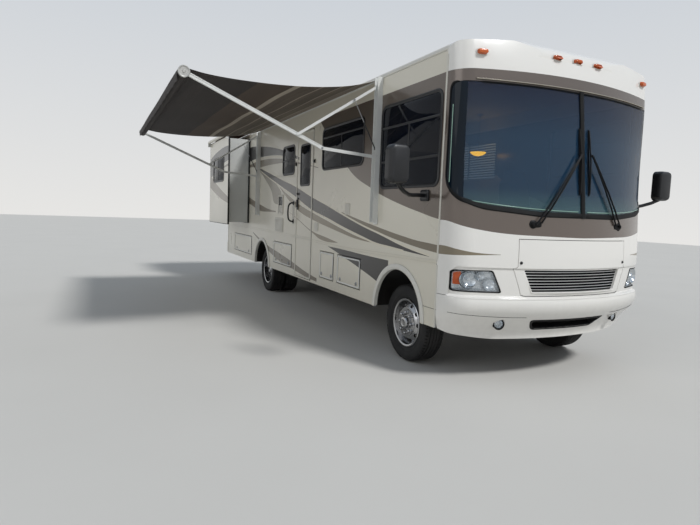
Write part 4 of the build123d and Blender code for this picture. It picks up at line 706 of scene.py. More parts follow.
def corner_spot(x, z, rise=0.0):
    """As front_spot, but past CORNER_FROM the place runs round the corner, to 1400 at its end."""
    if abs(x) <= CORNER_FROM:
        return front_spot(x, z, rise)
    side = 1 if x > 0 else -1
    first = atan2(CORNER_FROM - CORNER_X, CORNER_Y - front_spot(side * CORNER_FROM, z)[1])
    angle = first + (atan2(242.5, 60) - first) * (abs(x) - CORNER_FROM) / 200
    way = Vector((side * sin(angle), -cos(angle), 0))
    start = spot(side * CORNER_X, CORNER_Y, z) + way * 0.9
    hit = front_tree.ray_cast(start, -way)[0] + way * (rise / 1000)
    return hit.x * 1000 - CENTRE_X, hit.y * 1000 + FRONT_AXLE_Y, z


GASKET_OUTER = both_sides(((1390, 2806), (1398, 1900), (1270, 1752), (1040, 1660), (500, 1610)))
GASKET_INNER = both_sides(((1370, 2792), (1376, 1905), (1258, 1790), (1040, 1706), (500, 1658)))
gasket_rows = []
for share, cut, rise in (
    (0, 80, -3), (0, 80, 4), (0.2, 84, 9), (0.7, 92, 11), (1, 98, 8), (1, 98, -3),
):
    ring = [tuple(Vector(a).lerp(Vector(b), share)) for a, b in zip(GASKET_OUTER, GASKET_INNER)]
    gasket_rows.append([corner_spot(x, z, rise) for x, z in softened(ring, cut)])
make_piece("windscreen_gasket", skin(gasket_rows, True), gasket_rubber)
# the panes' outer edges wrap the corners over a black printed band: dark, hard and glossy
edge_glass = plain_finish(
    "black_printed_edge_glass", "#0f1b26", 0.06, grain=8.0, relief=0.02, specular=0.2
)
WRAP_FROM, WRAP_WIDTH, WRAP_COLUMNS, WRAP_ROWS = 1184, 198, 12, 24
wraps = []
for side in (-1, 1):
    wrap_rows = []
    for column in range(WRAP_COLUMNS + 1):
        x = WRAP_FROM + WRAP_WIDTH * column / WRAP_COLUMNS
        low = 1683 + (x - 1040) * 0.39 if x < 1264 else 1771 + (x - 1264) * 1.2
        high = 2799 - max(0, x - 1330) * 0.9
        heights = [low + (high - low) * n / WRAP_ROWS for n in range(WRAP_ROWS + 1)]
        # the pane itself lies deeper than the moulding, so the glass stands further out over it
        proud = 2.4 + (5.8 * min(1, (x - WRAP_FROM) / 28) if x < 1238 else 0)
        near = [corner_spot(side * x, z, proud) for z in heights]
        wrap_rows.append(near + [corner_spot(side * x, z, proud - 2) for z in heights[::-1]])
    wraps.append(capped(wrap_rows))
make_piece("windscreen_wrapped_edges", wraps, edge_glass)
BAR_LOW, BAR_HIGH, BAR_STEPS = 1612, 2812, 16
BAR_SECTION = ((-27, 8), (-24, -6), (-14, -12), (14, -12), (24, -6), (27, 8))
bar_rows = []
for n in range(BAR_STEPS + 1):
    z = BAR_LOW + (BAR_HIGH - BAR_LOW) * n / BAR_STEPS
    base = front_spot(60, z)[1] - 6
    bar_rows.append([(x, base + deep, z) for x, deep in BAR_SECTION])
make_piece("windscreen_bar", capped(bar_rows), gasket_rubber)
# laminated glass: clear with a green cast, so the dash shows through it; the blue over most of
# it is a painted reflection of the sky, and it turns darker towards the top
screen_glass, tree, shader = new_material("laminated_screen_glass")
coords, out, along, height = coach_axes(tree)
low_glass = add_node(tree, "MapRange", (height, 1.66, 1.86, 0.0, 1.0))
shade_band = add_node(tree, "MapRange", (height, 2.35, 2.8, 0.0, 1.0))
# green low down, then blue as a painted reflection of the sky, then darker towards the top
shown = add_node(tree, "Mix", {0: low_glass, 6: "#47676e", 7: "#223f58"}, data_type="RGBA")
shown = add_node(tree, "Mix", {0: shade_band, 6: shown, 7: "#14203a"}, data_type="RGBA")
ripple = add_node(tree, "TexNoise", {"Vector": coords, "Scale": 1.6, "Detail": 2.0})
smear = add_node(tree, "MapRange", (ripple, 0.3, 0.8, 0.015, 0.05))
fill(shader, {"Base Color": shown, "Roughness": smear, "IOR": 1.52, "Alpha": 0.62})
dress(("windscreen",), screen_glass)
# pale green edge of the laminated panes where they meet the gasket, and the aluminium strip above
# them, whose pale warm colour is a painted highlight along the screen's top
edge_green = plain_finish(
    "laminated_glass_edge_green", "#8fb0a2", 0.12, grain=12.0, relief=0.05, spread=0.2,
)
top_strip_highlight = plain_finish(
    "screen_top_strip_painted_highlight", "#b7b0a0", 0.3, 0.7, grain=30.0, spread=0.15,
)
edges = []
for side in (-1, 1):
    edge = [corner_spot(side * 1336, 1900 + 700 * n / 20, 3) for n in range(21)]
    edges.append(tube(edge, 4.5, 8))
    run = [
        front_spot(side * (60 + 1060 * n / 20), 1672 + 62 * (n / 20) ** 2.4, 3)
        for n in range(21)
    ]
    edges.append(tube(run, 5, 8))
make_piece("windscreen_glass_edges", edges, edge_green)
# the strip's pale colour stands for a painted highlight under the brow
top_strip = tube([front_spot(-1120 + 2240 * n / 60, 2822, 8) for n in range(61)], 6, 8, 0.6)
make_piece("windscreen_top_strip", top_strip, top_strip_highlight)


# Head lamps: a clear moulded cover over a bright bowl with two round reflectors and an amber corner
# reflector, set in a shallow pocket with a black rubber edge. The fog lamps are round and clear.
def turned(centre, axis, profile, steps=32):
    """Shape turned about an axis from (distance along, radius), ends closed."""
    axis = Vector(axis).normalized()
    across = axis.orthogonal().normalized()
    other = axis.cross(across)
    rows = []
    for along, radius in profile:
        middle = Vector(centre) + axis * along
        ring = [2 * pi * k / steps for k in range(steps)]
        rows.append([middle + across * radius * cos(a) + other * radius * sin(a) for a in ring])
    return capped(rows)


# vacuum-plated plastic: bright as a mirror, a little uneven
lamp_silver = plain_finish(
    "plated_reflector_silver", "#cdd2d6", 0.14, 1.0, grain=25.0, relief=0.05, spread=0.06,
)
amber_plastic = plain_finish("amber_acrylic_reflector", "#c4541c", 0.22, grain=160.0, relief=0.5)
# clear acrylic: smooth, hard and nearly invisible apart from its shine
clear_cover = glossy_finish(
    "clear_acrylic_lens", 12.0, 3.0, ("#e9eef2", "#dfe6ea"), 0.08, {"IOR": 1.49, "Alpha": 0.2}
)
REFLECTORS = (
    # place out, height, radius, depth
    (1118, 1016, 76, 46),
    (943, 973, 52, 40),
    (1024, 1052, 38, 34),
)
FOG_X, FOG_Z = 775, 595
for side, label in ((-1, "right"), (1, "left")):
    outline = [(side * x, z) for x, z in ((1236, 1098), (926, 1104), (836, 905), (1236, 908))]
    levels = ((5, 26, -2), (5, 26, 3), (-3, 28, 5), (-6, 30, 0), (-6, 30, -6))
    edge = skin(front_rings(outline, levels), True)
    make_piece(f"headlamp_edge_{label}", edge, gasket_rubber)
    rows = front_rings(outline, ((-4, 28, -4), (-4, 28, 1), (-10, 30, 2)))
    cover = capped(rows + [[(x, y + 8, z) for x, y, z in rows[-1]]])
    make_piece(f"headlamp_cover_{label}", cover, clear_cover)
    front_row = front_rings(outline, ((-4, 16, 0),))[0]
    near_row = [(x, y + 6, z) for x, y, z in front_row]
    far_row = [(x * 0.995, min(y + 60, -832), z) for x, y, z in front_row]
    back_row = [(x * 0.99, min(y + 74, -828), z) for x, y, z in front_row]
    silver = [skin([near_row, far_row]), capped([far_row, back_row])]
    lean = Vector((-side * 0.30, 1, 0))
    for x, z, radius, deep in REFLECTORS:
        middle = (side * x, front_spot(side * x, z)[1] + 6, z)
        silver.append(turned(middle, lean, (
            (deep, radius * 0.3), (deep - 8, radius * 0.62), (12, radius), (4, radius + 4),
            (12, radius + 9), (deep + 6, radius + 9),
        )))
        silver.append(turned(middle, lean, ((10, 5), (12, 11), (deep, 12))))
    make_piece(f"headlamp_bowl_{label}", silver, lamp_silver)
    corner = [(side * x, z) for x, z in ((1230, 1084), (1180, 1088), (1182, 968), (1230, 966))]
    rows = front_rings(corner, ((0, 5, -7), (-3, 5, -5)), 3)
    amber = capped([[(x, y + 10, z) for x, y, z in rows[0]]] + rows)
    make_piece(f"headlamp_amber_{label}", amber, amber_plastic)
    fog = [(side * FOG_X, front_spot(side * FOG_X, 665)[1] + 74, FOG_Z), (side * 0.25, -1, 0)]
    bezel = turned(*fog, ((-30, 46), (2, 47), (12, 58), (16, 56), (14, 48), (4, 42), (-30, 42)))
    make_piece(f"fog_lamp_bezel_{label}", bezel, gasket_rubber)
    bowl = turned(*fog, ((-40, 30), (-36, 42), (6, 45), (8, 41), (0, 38), (-22, 20)))
    fog_piece = make_piece(f"fog_lamp_bowl_{label}", bowl, lamp_silver)
    lens = turned(*fog, ((1, 38), (4, 37), (9, 24), (11, 8)))
    make_piece(f"fog_lamp_lens_{label}", lens, clear_cover)
    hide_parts("headlamps")


# Grille: a white moulded surround round a black sleeve, with seven buffed aluminium bars across it
# that follow the bow of the front, ahead of the radiator's finned core, whose near-black is
# painted shade behind the grille.
def bent_slab(width, height, recess):
    """Level bar behind the front's bow, recessed by a distance, with rounded edges."""
    rows = []
    for n in range(BAR_RUNS + 1):
        x = -width + 2 * width * n / BAR_RUNS
        y = front_spot(x, GRILLE_LEVEL)[1] + recess
        rows.append([(x, y + deep, height + up) for deep, up in BAR_EDGE])
    return capped(rows)


# extruded aluminium, buffed and clear-coated: mirror bright along the bar
bright_bar = plain_finish(
    "buffed_aluminium", "#eeeeee", 0.32, 1.0, grain=80.0, relief=0.05, spread=0.05
)
GRILLE_LOW, GRILLE_HIGH, GRILLE_NARROW, GRILLE_WIDE, GRILLE_LEVEL = 905, 1122, 545, 640, 1210
GRILLE_EDGE = both_sides(((GRILLE_WIDE, GRILLE_HIGH), (GRILLE_NARROW, GRILLE_LOW)))
BAR_COUNT, BAR_RUNS = 7, 20
BAR_EDGE = ((14, -3.4), (2, -3.4), (0, -1.7), (0, 1.7), (2, 3.4), (14, 3.4))
bars = []
for number in range(BAR_COUNT):
    share = (number + 1) / (BAR_COUNT + 1)
    width = GRILLE_NARROW + (GRILLE_WIDE - GRILLE_NARROW) * share - 3
    bars.append(bent_slab(width, GRILLE_LOW + (GRILLE_HIGH - GRILLE_LOW) * share, 34))
make_piece("grille_bars", bars, bright_bar, "hood")
black_trim = plain_finish("moulded_black_plastic", "#141517", 0.45, grain=140.0, relief=0.3)


def grille_band(levels):
    """Band round the grille's opening: rings of (grown by, recessed by)."""
    return skin([
        [
            (x, front_spot(x * 1.06, GRILLE_LEVEL)[1] + recess, z)
            for x, z in softened(mitred(GRILLE_EDGE, grow), 14)
        ]
        for grow, recess in levels
    ], True)


surround = grille_band(((1, 4), (-6, 6), (-8, 30), (-4, 32), (2, 30)))
make_piece("grille_surround", surround, front_gelcoat, "hood")
sleeve = grille_band(((1, 33), (-10, 31), (-12, 33), (-9, 70), (1, 70)))
sleeve_piece = make_piece("grille_sleeve", sleeve, black_trim, "hood")
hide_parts("grille")


def behind(y):
    """Turns (across, height, distance back) into a point behind a face across the coach."""
    return lambda x, z, back: (x, y + back, z)


levels = ((-4, 0), (0, 4), (0, 26), (-4, 30))
core = pressed((-560, 560, 880, 1150), 10, levels, behind(-1060), 2)
# radiator: black painted fins, far too fine to draw singly, so they are drawn 9 mm apart; their
# near-black tone is painted shade behind the grille
radiator, tree, shader = new_material("radiator_core_painted_shade")
coords = add_node(tree, "TexCoord").node.outputs["Object"]
fins = add_node(
    tree, "TexWave", {"Vector": coords, "Scale": 17.5, "Distortion": 0.4}, bands_direction="Z",
)
shown = add_node(tree, "Mix", {0: fins, 6: "#030304", 7: "#0c0c0d"}, data_type="RGBA")
relief = add_node(tree, "Bump", {"Strength": 0.5, "Distance": 0.004, "Height": fins})
fill(shader, {
    "Base Color": shown, "Normal": relief, "Roughness": 0.6, "Specular IOR Level": 0.15
})
make_piece("radiator_core", core, radiator)

# Hood hardware: two black moulded twist knobs on spindles that hold the lower corners of the
# service panel shut.
KNOB = ((0, 15), (5, 15), (7, 12), (7, 9), (15, 8), (16, 6))
knobs = []
for x in (-676, 676):
    base = front_spot(x, 1185)
    knobs.append(turned((x, base[1] + 3, 1185), (x / 2600, -1, 0), KNOB, 20))
make_piece("hood_knobs", knobs, black_trim, "hood")

# Bumper top: the gelcoat moulding's own rolled lip, which closes the joint under the cap with the
# moulded crease across its face.
LIP_HALF, LIP_RUNS = 1262, 60
lip_rows = []
for n in range(LIP_RUNS + 1):
    x = -LIP_HALF + 2 * LIP_HALF * n / LIP_RUNS
    above_y = front_spot(x, 884)[1]
    below_y = front_spot(x, 842)[1]
    lip_rows.append([
        (x, above_y + 16, 878), (x, above_y - 1, 874), (x, above_y - 4, 868),
        (x, (above_y + below_y) / 2 - 6, 860),
        (x, below_y - 3, 850), (x, below_y - 2, 840), (x, below_y + 16, 838),
    ])
make_piece("bumper_lip", capped(lip_rows), front_gelcoat)

# Bumper face: a black liner in the air slot, painted shade for its inside; a black line along the
# moulded crease that runs on over the skirts, painted shade for the crease; and the dark gap below
# the grille panel.
# black for painted shade in the slot and the crease, and for the dark gap below the grille panel
slot_black = plain_finish("painted_shade_and_gap_black", "#0b0b0c", 0.55, grain=120.0, specular=0.2)
AIR_SLOT = both_sides(((470, 625), (400, 535)))
levels = ((14, 44, -2), (14, 44, 2), (4, 40, 3.5), (-8, 36, 0), (-10, 36, -70), (-2, 36, -70))
liner = skin(front_rings(AIR_SLOT, levels), True)
make_piece("bumper_slot_liner", liner, slot_black)
# black lines along the bumper's and skirts' moulded crease: painted shade in the crease
lines = []
for side in (-1, 1):
    shares = [n / 30 for n in range(31)]
    sweep = [front_spot(side * (560 + 690 * share), 668 + 32 * share**2, 0.4) for share in shares]
    lines.append(tube(sweep, 2.4, 6))
    lines.append(tube([(side * 1282.8, y, 698) for y in (-732, -440)], 2.2, 6))
gap = [(-600 + 1200 * n / 24, 872) for n in range(25)]
gap = [(-640, 884), (-626, 876)] + gap + [(626, 876), (640, 884)]
lines.append(tube([Vector(front_spot(x, z)) - Vector((0, 3, 0)) for x, z in gap], 2.4, 6))
make_piece("bumper_creases", lines, slot_black)

# Marker lamps: five amber acrylic lenses on pale screwed bases along the brow, and red ones on the
# rear moulding with the two tall tail lamps.
amber_lens = plain_finish("amber_acrylic_lens", "#d0622a", 0.15, grain=200.0, relief=0.4)
pale_base = plain_finish("lamp_base_white_plastic", "#dcd9d2", 0.4, grain=120.0)
MARKER_PARTS = (
    # part, rings, finish, slot
    ("base", ((9, -2), (9, 4), (5, 8), (0, 8)), pale_base, "body_paint"),
    ("lens", ((-2, 6), (-3, 16), (-8, 24), (-16, 27)), amber_lens, "amber_lens"),
)
MARKER_HALF = 1069
for number, x in enumerate((-MARKER_HALF, -268, 0, 268, MARKER_HALF)):
    z = 3106 - 46 * (x / MARKER_HALF) ** 2
    box = (x - 50, x + 50, z - 25, z + 25)
    for part, rings, finish, slot in MARKER_PARTS:
        rows = [[front_spot(a, b, rise) for a, b in rounded(box, 24, grow)] for grow, rise in rings]
        make_piece(f"marker_{part}_{number}", capped(rows), finish)
red_lens = plain_finish("red_acrylic_lens", "#8e1512", 0.15, grain=200.0, relief=0.4)
on_rear = behind(8200)
tails = []
for x in (-1060, 1060):
    tails.append(pressed((x - 66, x + 66, 1046, 1454), 24, ((0, 0), (0, 16), (-8, 21)), on_rear))
for x, z in ((-900, 3080), (-130, 3110), (0, 3110), (130, 3110), (900, 3080)):
    box = (x - 44, x + 44, z - 16, z + 16)
    tails.append(pressed(box, 15, ((0, 0), (-1, 14), (-7, 21)), on_rear))
tail_piece = make_piece("tail_lamps", tails, red_lens)
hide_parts("signal_lamps")


# Wipers: two parallel black steel arms on each spindle carry one upright rubber blade near the
# middle; the spindles stand in the moulding under the screen.
arm_steel = plain_finish("wiper_arm_black_paint", "#0a0a0c", 0.5, grain=90.0, specular=0.2)
SPINDLE = ((0, 42), (38, 42), (46, 38), (52, 26), (60, 24), (66, 16))
SECOND_SPINDLE = ((0, 26), (44, 26), (56, 18), (60, 8))
shapes = []
for side in (-1, 1):
    pivot_x, pivot_z, blade_x = side * 562, 1538, side * 62 + 20
    base = front_spot(pivot_x, pivot_z)[1]
    axis = (side * 0.2, -1, 0.1)
    shapes.append(turned((pivot_x, base + 40, pivot_z), axis, SPINDLE, 20))
    second = (pivot_x - side * 62, base + 40, pivot_z + 14)
    shapes.append(turned(second, axis, SECOND_SPINDLE, 16))
    middle = pivot_x - side * 31
    boss = (middle - 52, middle + 52, pivot_z - 24, pivot_z + 30)
    levels = ((0, 30), (0, -14), (-8, -22), (-18, -24))
    shapes.append(pressed(boss, 20, levels, behind(base), 4))
    for shift, drop in ((0, 0), (side * -66, 18)):
        start = Vector((pivot_x + shift, base - 32, pivot_z + drop))
        end_y = front_spot(blade_x - side * 8 + shift * 0.3, 2190)[1] - 44
        end = Vector((blade_x + side * 22 + shift * 0.3, end_y, 2200 + drop))
        knee = start.lerp(end, 0.5) + Vector((0, -16, 0))
        low_bend = start.lerp(knee, 0.5) + Vector((0, -5, 0))
        high_bend = knee.lerp(end, 0.6) + Vector((0, -3, 0))
        shapes.append(tube([start, low_bend, knee, high_bend, end], 8, 10))
    clip = [(blade_x + side * 30, end_y + 4, 2200), (blade_x - side * 8, end_y + 12, 2216)]
    shapes.append(tube(clip, 11, 10))
    for rise, heights in (
        ((16, 26, 34, 26, 16), (1850, 1990, 2150, 2310, 2450)),
        ((9,) * 6, (1830, 1960, 2090, 2220, 2350, 2460)),
    ):
        blade = [(blade_x, front_spot(blade_x, z)[1] - bow, z) for z, bow in zip(heights, rise)]
        shapes.append(tube(blade, 7, 8))
wiper_piece = make_piece("wiper_arms_and_blades", shapes, arm_steel)
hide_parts("wipers")

# Mirrors: black moulded heads with a flat and a small wide-angle glass, on bent tube arms from a
# foot on the wall.
mirror_glass = glossy_finish(
    "mirror_glass_silvered", 20.0, 3.0, ("#c9ced4", "#d6dade"), 0.06, {"Metallic": 1.0}
)
MIRROR_SHELL = (
    (-34, -60), (-14, -52), (-2, -30), (0, 0), (0, 52), (-6, 58), (-12, 58), (-14, 50),
)
MIRROR_ARM = (
    (1298, -450, 1780), (1400, -490, 1778), (1500, -550, 1772), (1560, -590, 1774),
    (1640, -640, 1796), (1720, -700, 1830), (1790, -756, 1878),
)


def in_mirror(side):
    """Turns (across, height, depth) from a mirror head's middle into a point."""
    return lambda x, z, out: (side * (1790 + x), -760 + out, 2030 + z)


for side, label in ((-1, "right"), (1, "left")):
    shell = pressed((-100, 100, -170, 170), 55, MIRROR_SHELL, in_mirror(side), 8)
    levels = ((0, 0), (0, 14), (-10, 22), (-24, 24))
    foot = pressed((-525, -375, 1725, 1835), 30, levels, on_wall(side, WALL))
    arm = tube([(side * x, y, z) for x, y, z in MIRROR_ARM], 19, 14)
    piece = make_piece(f"mirror_shell_{label}", [shell, foot, arm], frame_black)
    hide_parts("mirrors")
    levels = ((0, 48), (0, 53), (-3, 54))
    flat = pressed((-88, 88, -60, 156), 42, levels, in_mirror(side), 8)
    levels = ((0, 48), (-4, 53), (-16, 55))
    wide = pressed((-88, 88, -156, -72), 34, levels, in_mirror(side), 8)
    make_piece(f"mirror_glass_{label}", [flat, wide], mirror_glass)


def cloth_strip(section, y0, y1, thick, wave, steps=40):
    """Closed thin sheet along Y from a line of (distance out, height), waved along its edge."""
    rows = []
    for n in range(steps + 1):
        share = n / steps
        edge = wave * (cos(2 * pi * share * 3) * 0.5 + (2 * share - 1) ** 4)
        line = []
        for k, (x, z) in enumerate(section):
            slack = sin(pi * k / (len(section) - 1))
            line.append((-x, y0 + (y1 - y0) * share, z - edge * slack))
        top = [(x, y, z + thick / 2) for x, y, z in line]
        rows.append(top + [(x, y, z - thick / 2) for x, y, z in line[::-1]])
    return capped(rows)


def eased(points, runs):
    """Smooth line through points, by a Catmull-Rom curve."""
    line = []
    ends = [points[0]] + list(points) + [points[-1]]
    for a, b, c, d in zip(ends, ends[1:], ends[2:], ends[3:]):
        for t in [n / runs for n in range(runs)]:
            line.append(tuple(
                0.5 * (
                    2 * q + (r - p) * t + (2 * p - 5 * q + 4 * r - s) * t**2
                    + (3 * q - p - 3 * r + s) * t**3
                )
                for p, q, r, s in zip(a, b, c, d)
            ))
    return line + [tuple(points[-1])]


# vinyl-coated cloth: woven grain under a dull coat, in bands printed across the roll; the bands
# nearest the wall are lightened with painted light, for the sun that shines through the cloth
awning_vinyl, tree, shader = new_material("vinyl_awning_cloth_striped")
coords, out, along, height = coach_axes(tree)
CLOTH_FROM, CLOTH_TO = 1.285, 3.43
bands = add_node(tree, "MapRange", (out, CLOTH_FROM, CLOTH_TO, 0.0, 1.0))
ramp = add_node(tree, "ValToRGB", (bands,)).node
# printed stripes; the pale ones nearest the wall are lightened with painted light
BANDS = (
    # distance out in metres, colour from there outwards
    (1.285, "#9a8f82"), (1.50, "#b3a899"), (1.53, "#7c7265"), (1.72, "#b3a899"), (1.74, "#6e6458"),
    (1.95, "#ab9f90"), (1.98, "#6a5f53"), (2.21, "#b8ad9d"), (2.29, "#54473c"), (2.67, "#37302d"),
)
ramp.color_ramp.interpolation = "CONSTANT"
while len(ramp.color_ramp.elements) < len(BANDS):
    ramp.color_ramp.elements.new(1.0)
for element, (distance, colour) in zip(ramp.color_ramp.elements, BANDS):
    element.position = (distance - CLOTH_FROM) / (CLOTH_TO - CLOTH_FROM)
    element.color = linear(colour)
creases = add_node(tree, "Mapping", {"Vector": coords, "Scale": (14, 0.7, 14)})
folds = add_node(tree, "TexNoise", {"Vector": creases, "Scale": 1.0, "Detail": 3.0})
# darker in streaks along the folds, by the same noise that raises them
fold_darkening = add_node(tree, "MapRange", (folds, 0.35, 0.7, 0.0, 0.3))
shown = add_node(tree, "Mix", {0: fold_darkening, 6: ramp.outputs["Color"], 7: "#1c1b1a"}, data_type="RGBA")
weave = add_node(tree, "TexNoise", {"Vector": coords, "Scale": 420.0, "Detail": 2.0})
both = add_node(tree, "Math", (folds, 3.0, weave), operation="MULTIPLY_ADD")
relief = add_node(tree, "Bump", {"Strength": 0.35, "Distance": 0.006, "Height": both})
fill(shader, {"Base Color": shown, "Normal": relief, "Roughness": 0.8})

AWNING_BOW = (
    (1286, 3100), (1420, 3052), (1640, 2992), (1890, 2950), (2170, 2918), (2450, 2900),
    (2710, 2892), (2970, 2890), (3190, 2897), (3330, 2911), (3427, 2925),
)
AWNING_FRONT, AWNING_LENGTH = 600, 4771
ROLLER, ROLLER_RADIUS = (3427, 2868), 56
bow = eased(AWNING_BOW, 6)
cloth = cloth_strip(bow, AWNING_FRONT, AWNING_FRONT + AWNING_LENGTH, 1.6, 11)
fabric = make_piece("awning_cloth", cloth, awning_vinyl)
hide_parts("awning_fabric")
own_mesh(fabric)
hem = []
for angle in [0.1 * pi * n for n in range(6)]:
    hem.append((ROLLER[0] + ROLLER_RADIUS * sin(angle), ROLLER[1] + ROLLER_RADIUS * cos(angle)))
hem += [(3484, 2840), (3482, 2812), (3478, 2784)]
SCALLOPS, SCALLOP_DEPTH, HEM_STEPS = 14, 13, 96
rows = []
for n in range(HEM_STEPS + 1):
    share = n / HEM_STEPS
    scallop = SCALLOP_DEPTH * abs(sin(pi * share * SCALLOPS))
    y = AWNING_FRONT + AWNING_LENGTH * share
    line = [(-x - 2 * sin(12 * share), y, z) for x, z in hem]
    line[-1] = (*line[-1][:2], line[-1][2] + scallop)
    rows.append([(x - 0.8, y, z) for x, y, z in line] + [(x + 0.8, y, z) for x, y, z in line[::-1]])
valance = make_piece("awning_valance", capped(rows), awning_vinyl, "awning_arm")
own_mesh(valance)
dress(("awning_fabric",), awning_vinyl)

# Awning arms: white enamelled aluminium extrusions with a groove along each side, pinned joints and
# round die-cast end caps on the roller.
arm_enamel = plain_finish(
    "awning_arm_white_enamel", "#dfe0dd", 0.3, grain=70.0, relief=0.04, spread=0.05,
)
cast_cap = plain_finish("die_cast_end_cap", "#c4c3bf", 0.4, 0.3, grain=160.0, relief=0.2)
bolt_steel = plain_finish("zinc_plated_steel", "#a9abad", 0.35, 1.0, grain=200.0)
ELBOW, ARM_JOINT = (1976, 2272), (2264, 2390)
ARM_PLACES = (560, 5441)
RIB_OFFSET, RIB_RADIUS = 13, 3
END_CAP = (
    (0, 52), (4, 58), (16, 58), (20, 52), (17, 44), (13, 40), (13, 16), (20, 12), (20, 4),
)
caps, ribs, bolts = [], [], []
for y in ARM_PLACES:
    outward = -1 if y == ARM_PLACES[0] else 1
    face = y - 11 if outward < 0 else y + 1
    way = Vector((ROLLER[0] - ELBOW[0], ROLLER[1] - ELBOW[1])).normalized()
    for shift in (-RIB_OFFSET, RIB_OFFSET):
        off = Vector((-way.y, way.x)) * shift
        ends = Vector(ELBOW) + way * 40 + off, Vector(ROLLER) - way * 60 + off
        ribs.append(tube([(-end.x, face + outward, end.y) for end in ends], RIB_RADIUS, 8))
    caps.append(turned((-ROLLER[0], face, ROLLER[1]), (0, outward, 0), END_CAP))
    for (x, z), head in (
        (ELBOW, ((0, 12), (5, 12), (8, 9), (8, 3))),
        (ARM_JOINT, ((0, 10), (4, 10), (7, 7), (7, 2))),
    ):
        bolts.append(turned((-x, face, z), (0, outward, 0), head, 18))
make_piece("awning_arm_ribs", ribs, arm_enamel, "awning_arm")
make_piece("awning_end_caps", caps, cast_cap, "awning_arm")
make_piece("awning_arm_bolts", bolts, bolt_steel, "awning_arm")
dress(("awning_channels", "awning_lower_links", "awning_arms", "awning_upper_links"), arm_enamel)
dress(("awning_roller",), awning_vinyl)
dress(("awning_strut_tubes",), plain_finish("gas_strut_black", "#1a1a1b", 0.35, grain=90.0))
dress(("awning_strut_rods",), bolt_steel)
# rail under the roof edge that holds the cloth's bead, and the channels' feet and upper brackets
RAIL = ((1282, 3084), (1290, 3084), (1298, 3090), (1298, 3108), (1290, 3116), (1282, 3116))
rail_shapes = [capped([[(-x, y, z) for x, z in RAIL] for y in (540, 2900, 5461)])]
for y in ARM_PLACES:
    for z0, z1 in ((1462, 1560), (3040, 3106)):
        levels = ((0, 0), (0, 3), (-3, 6), (-14, 6))
        rail_shapes.append(pressed((y - 62, y + 34, z0, z1), 10, levels, on_wall(-1, 1287), 3))
make_piece("awning_rail_and_feet", rail_shapes, arm_enamel)

# Slide-out's topper: the same coated cloth, rust-brown below, pulled out from the wall over the
# slide-out's roof by a sprung roller.
topper_cloth, tree, shader = new_material("vinyl_topper_cloth_brown")
coords = add_node(tree, "TexCoord").node.outputs["Object"]
folds = add_node(tree, "TexNoise", {"Vector": coords, "Scale": 6.0, "Detail": 4.0})
weave = add_node(tree, "TexNoise", {"Vector": coords, "Scale": 420.0, "Detail": 2.0})
shown = add_node(tree, "Mix", {0: folds, 6: "#5c3422", 7: "#8a5233"}, data_type="RGBA")
relief = add_node(tree, "Bump", {"Strength": 0.3, "Distance": 0.003, "Height": weave})
fill(shader, {"Base Color": shown, "Normal": relief, "Roughness": 0.65})
topper_bow = eased(((1284, 3143), (1400, 3135), (1520, 3131), (1660, 3130), (1776, 3130)), 5)
cloth = cloth_strip(topper_bow, 6180, 7980, 1.4, 1.5, 24)
topper = make_piece("topper_cloth", cloth, topper_cloth)
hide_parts("topper_fabric")
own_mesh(topper)


# Wheels and tyres: steel-belted tyres with five ribs and notched shoulders, on steel disc wheels
# under bright stainless liners with a cover on each nut.
def ring_of(centre, side, profile, steps=96):
    """Ring turned about a wheel's axle from (distance outwards, radius), closed on itself."""
    rows = []
    for outwards, radius in profile:
        angles = [2 * pi * k / steps for k in range(steps)]
        x = centre[0] + side * outwards
        rows.append([(x, centre[1] + radius * cos(a), centre[2] + radius * sin(a)) for a in angles])
    return skin(rows, True)


def repeat_tree():
    """Geometry nodes that set copies of a mesh along a line, each turned further than the last."""
    tree = bpy.data.node_groups.new("repeat_along_a_line", "GeometryNodeTree")
    made = {}
    for name, kind in (
        ("Geometry", "Geometry"), ("Count", "Int"), ("Step", "Vector"), ("Turn", "Vector"),
        ("Material", "Material"),
    ):
        made[name] = tree.interface.new_socket(
            name, in_out="INPUT", socket_type="NodeSocket" + kind,
        ).identifier
    tree.interface.new_socket("Geometry", in_out="OUTPUT", socket_type="NodeSocketGeometry")
    given = tree.nodes.new("NodeGroupInput").outputs
    line = add_node(
        tree, "GeometryNodeMeshLine", {"Count": given["Count"], "Offset": given["Step"]},
        mode="OFFSET",
    )
    number = add_node(tree, "GeometryNodeInputIndex")
    turned_by = add_node(tree, "VectorMath", {0: given["Turn"], "Scale": number}, operation="SCALE")
    copies = add_node(
        tree, "GeometryNodeInstanceOnPoints",
        {"Points": line, "Instance": given["Geometry"], "Rotation": turned_by},
    )
    real = add_node(tree, "GeometryNodeRealizeInstances", {"Geometry": copies})
    coated = add_node(
        tree, "GeometryNodeSetMaterial", {"Geometry": real, "Material": given["Material"]},
    )
    tree.links.new(coated, tree.nodes.new("NodeGroupOutput").inputs["Geometry"])
    return tree, made


REPEAT, REPEAT_INPUTS = repeat_tree()


def evaluated_mesh(thing):
    """The object's mesh with its modifiers applied."""
    depsgraph = bpy.context.evaluated_depsgraph_get()
    return bpy.data.meshes.new_from_object(thing.evaluated_get(depsgraph))


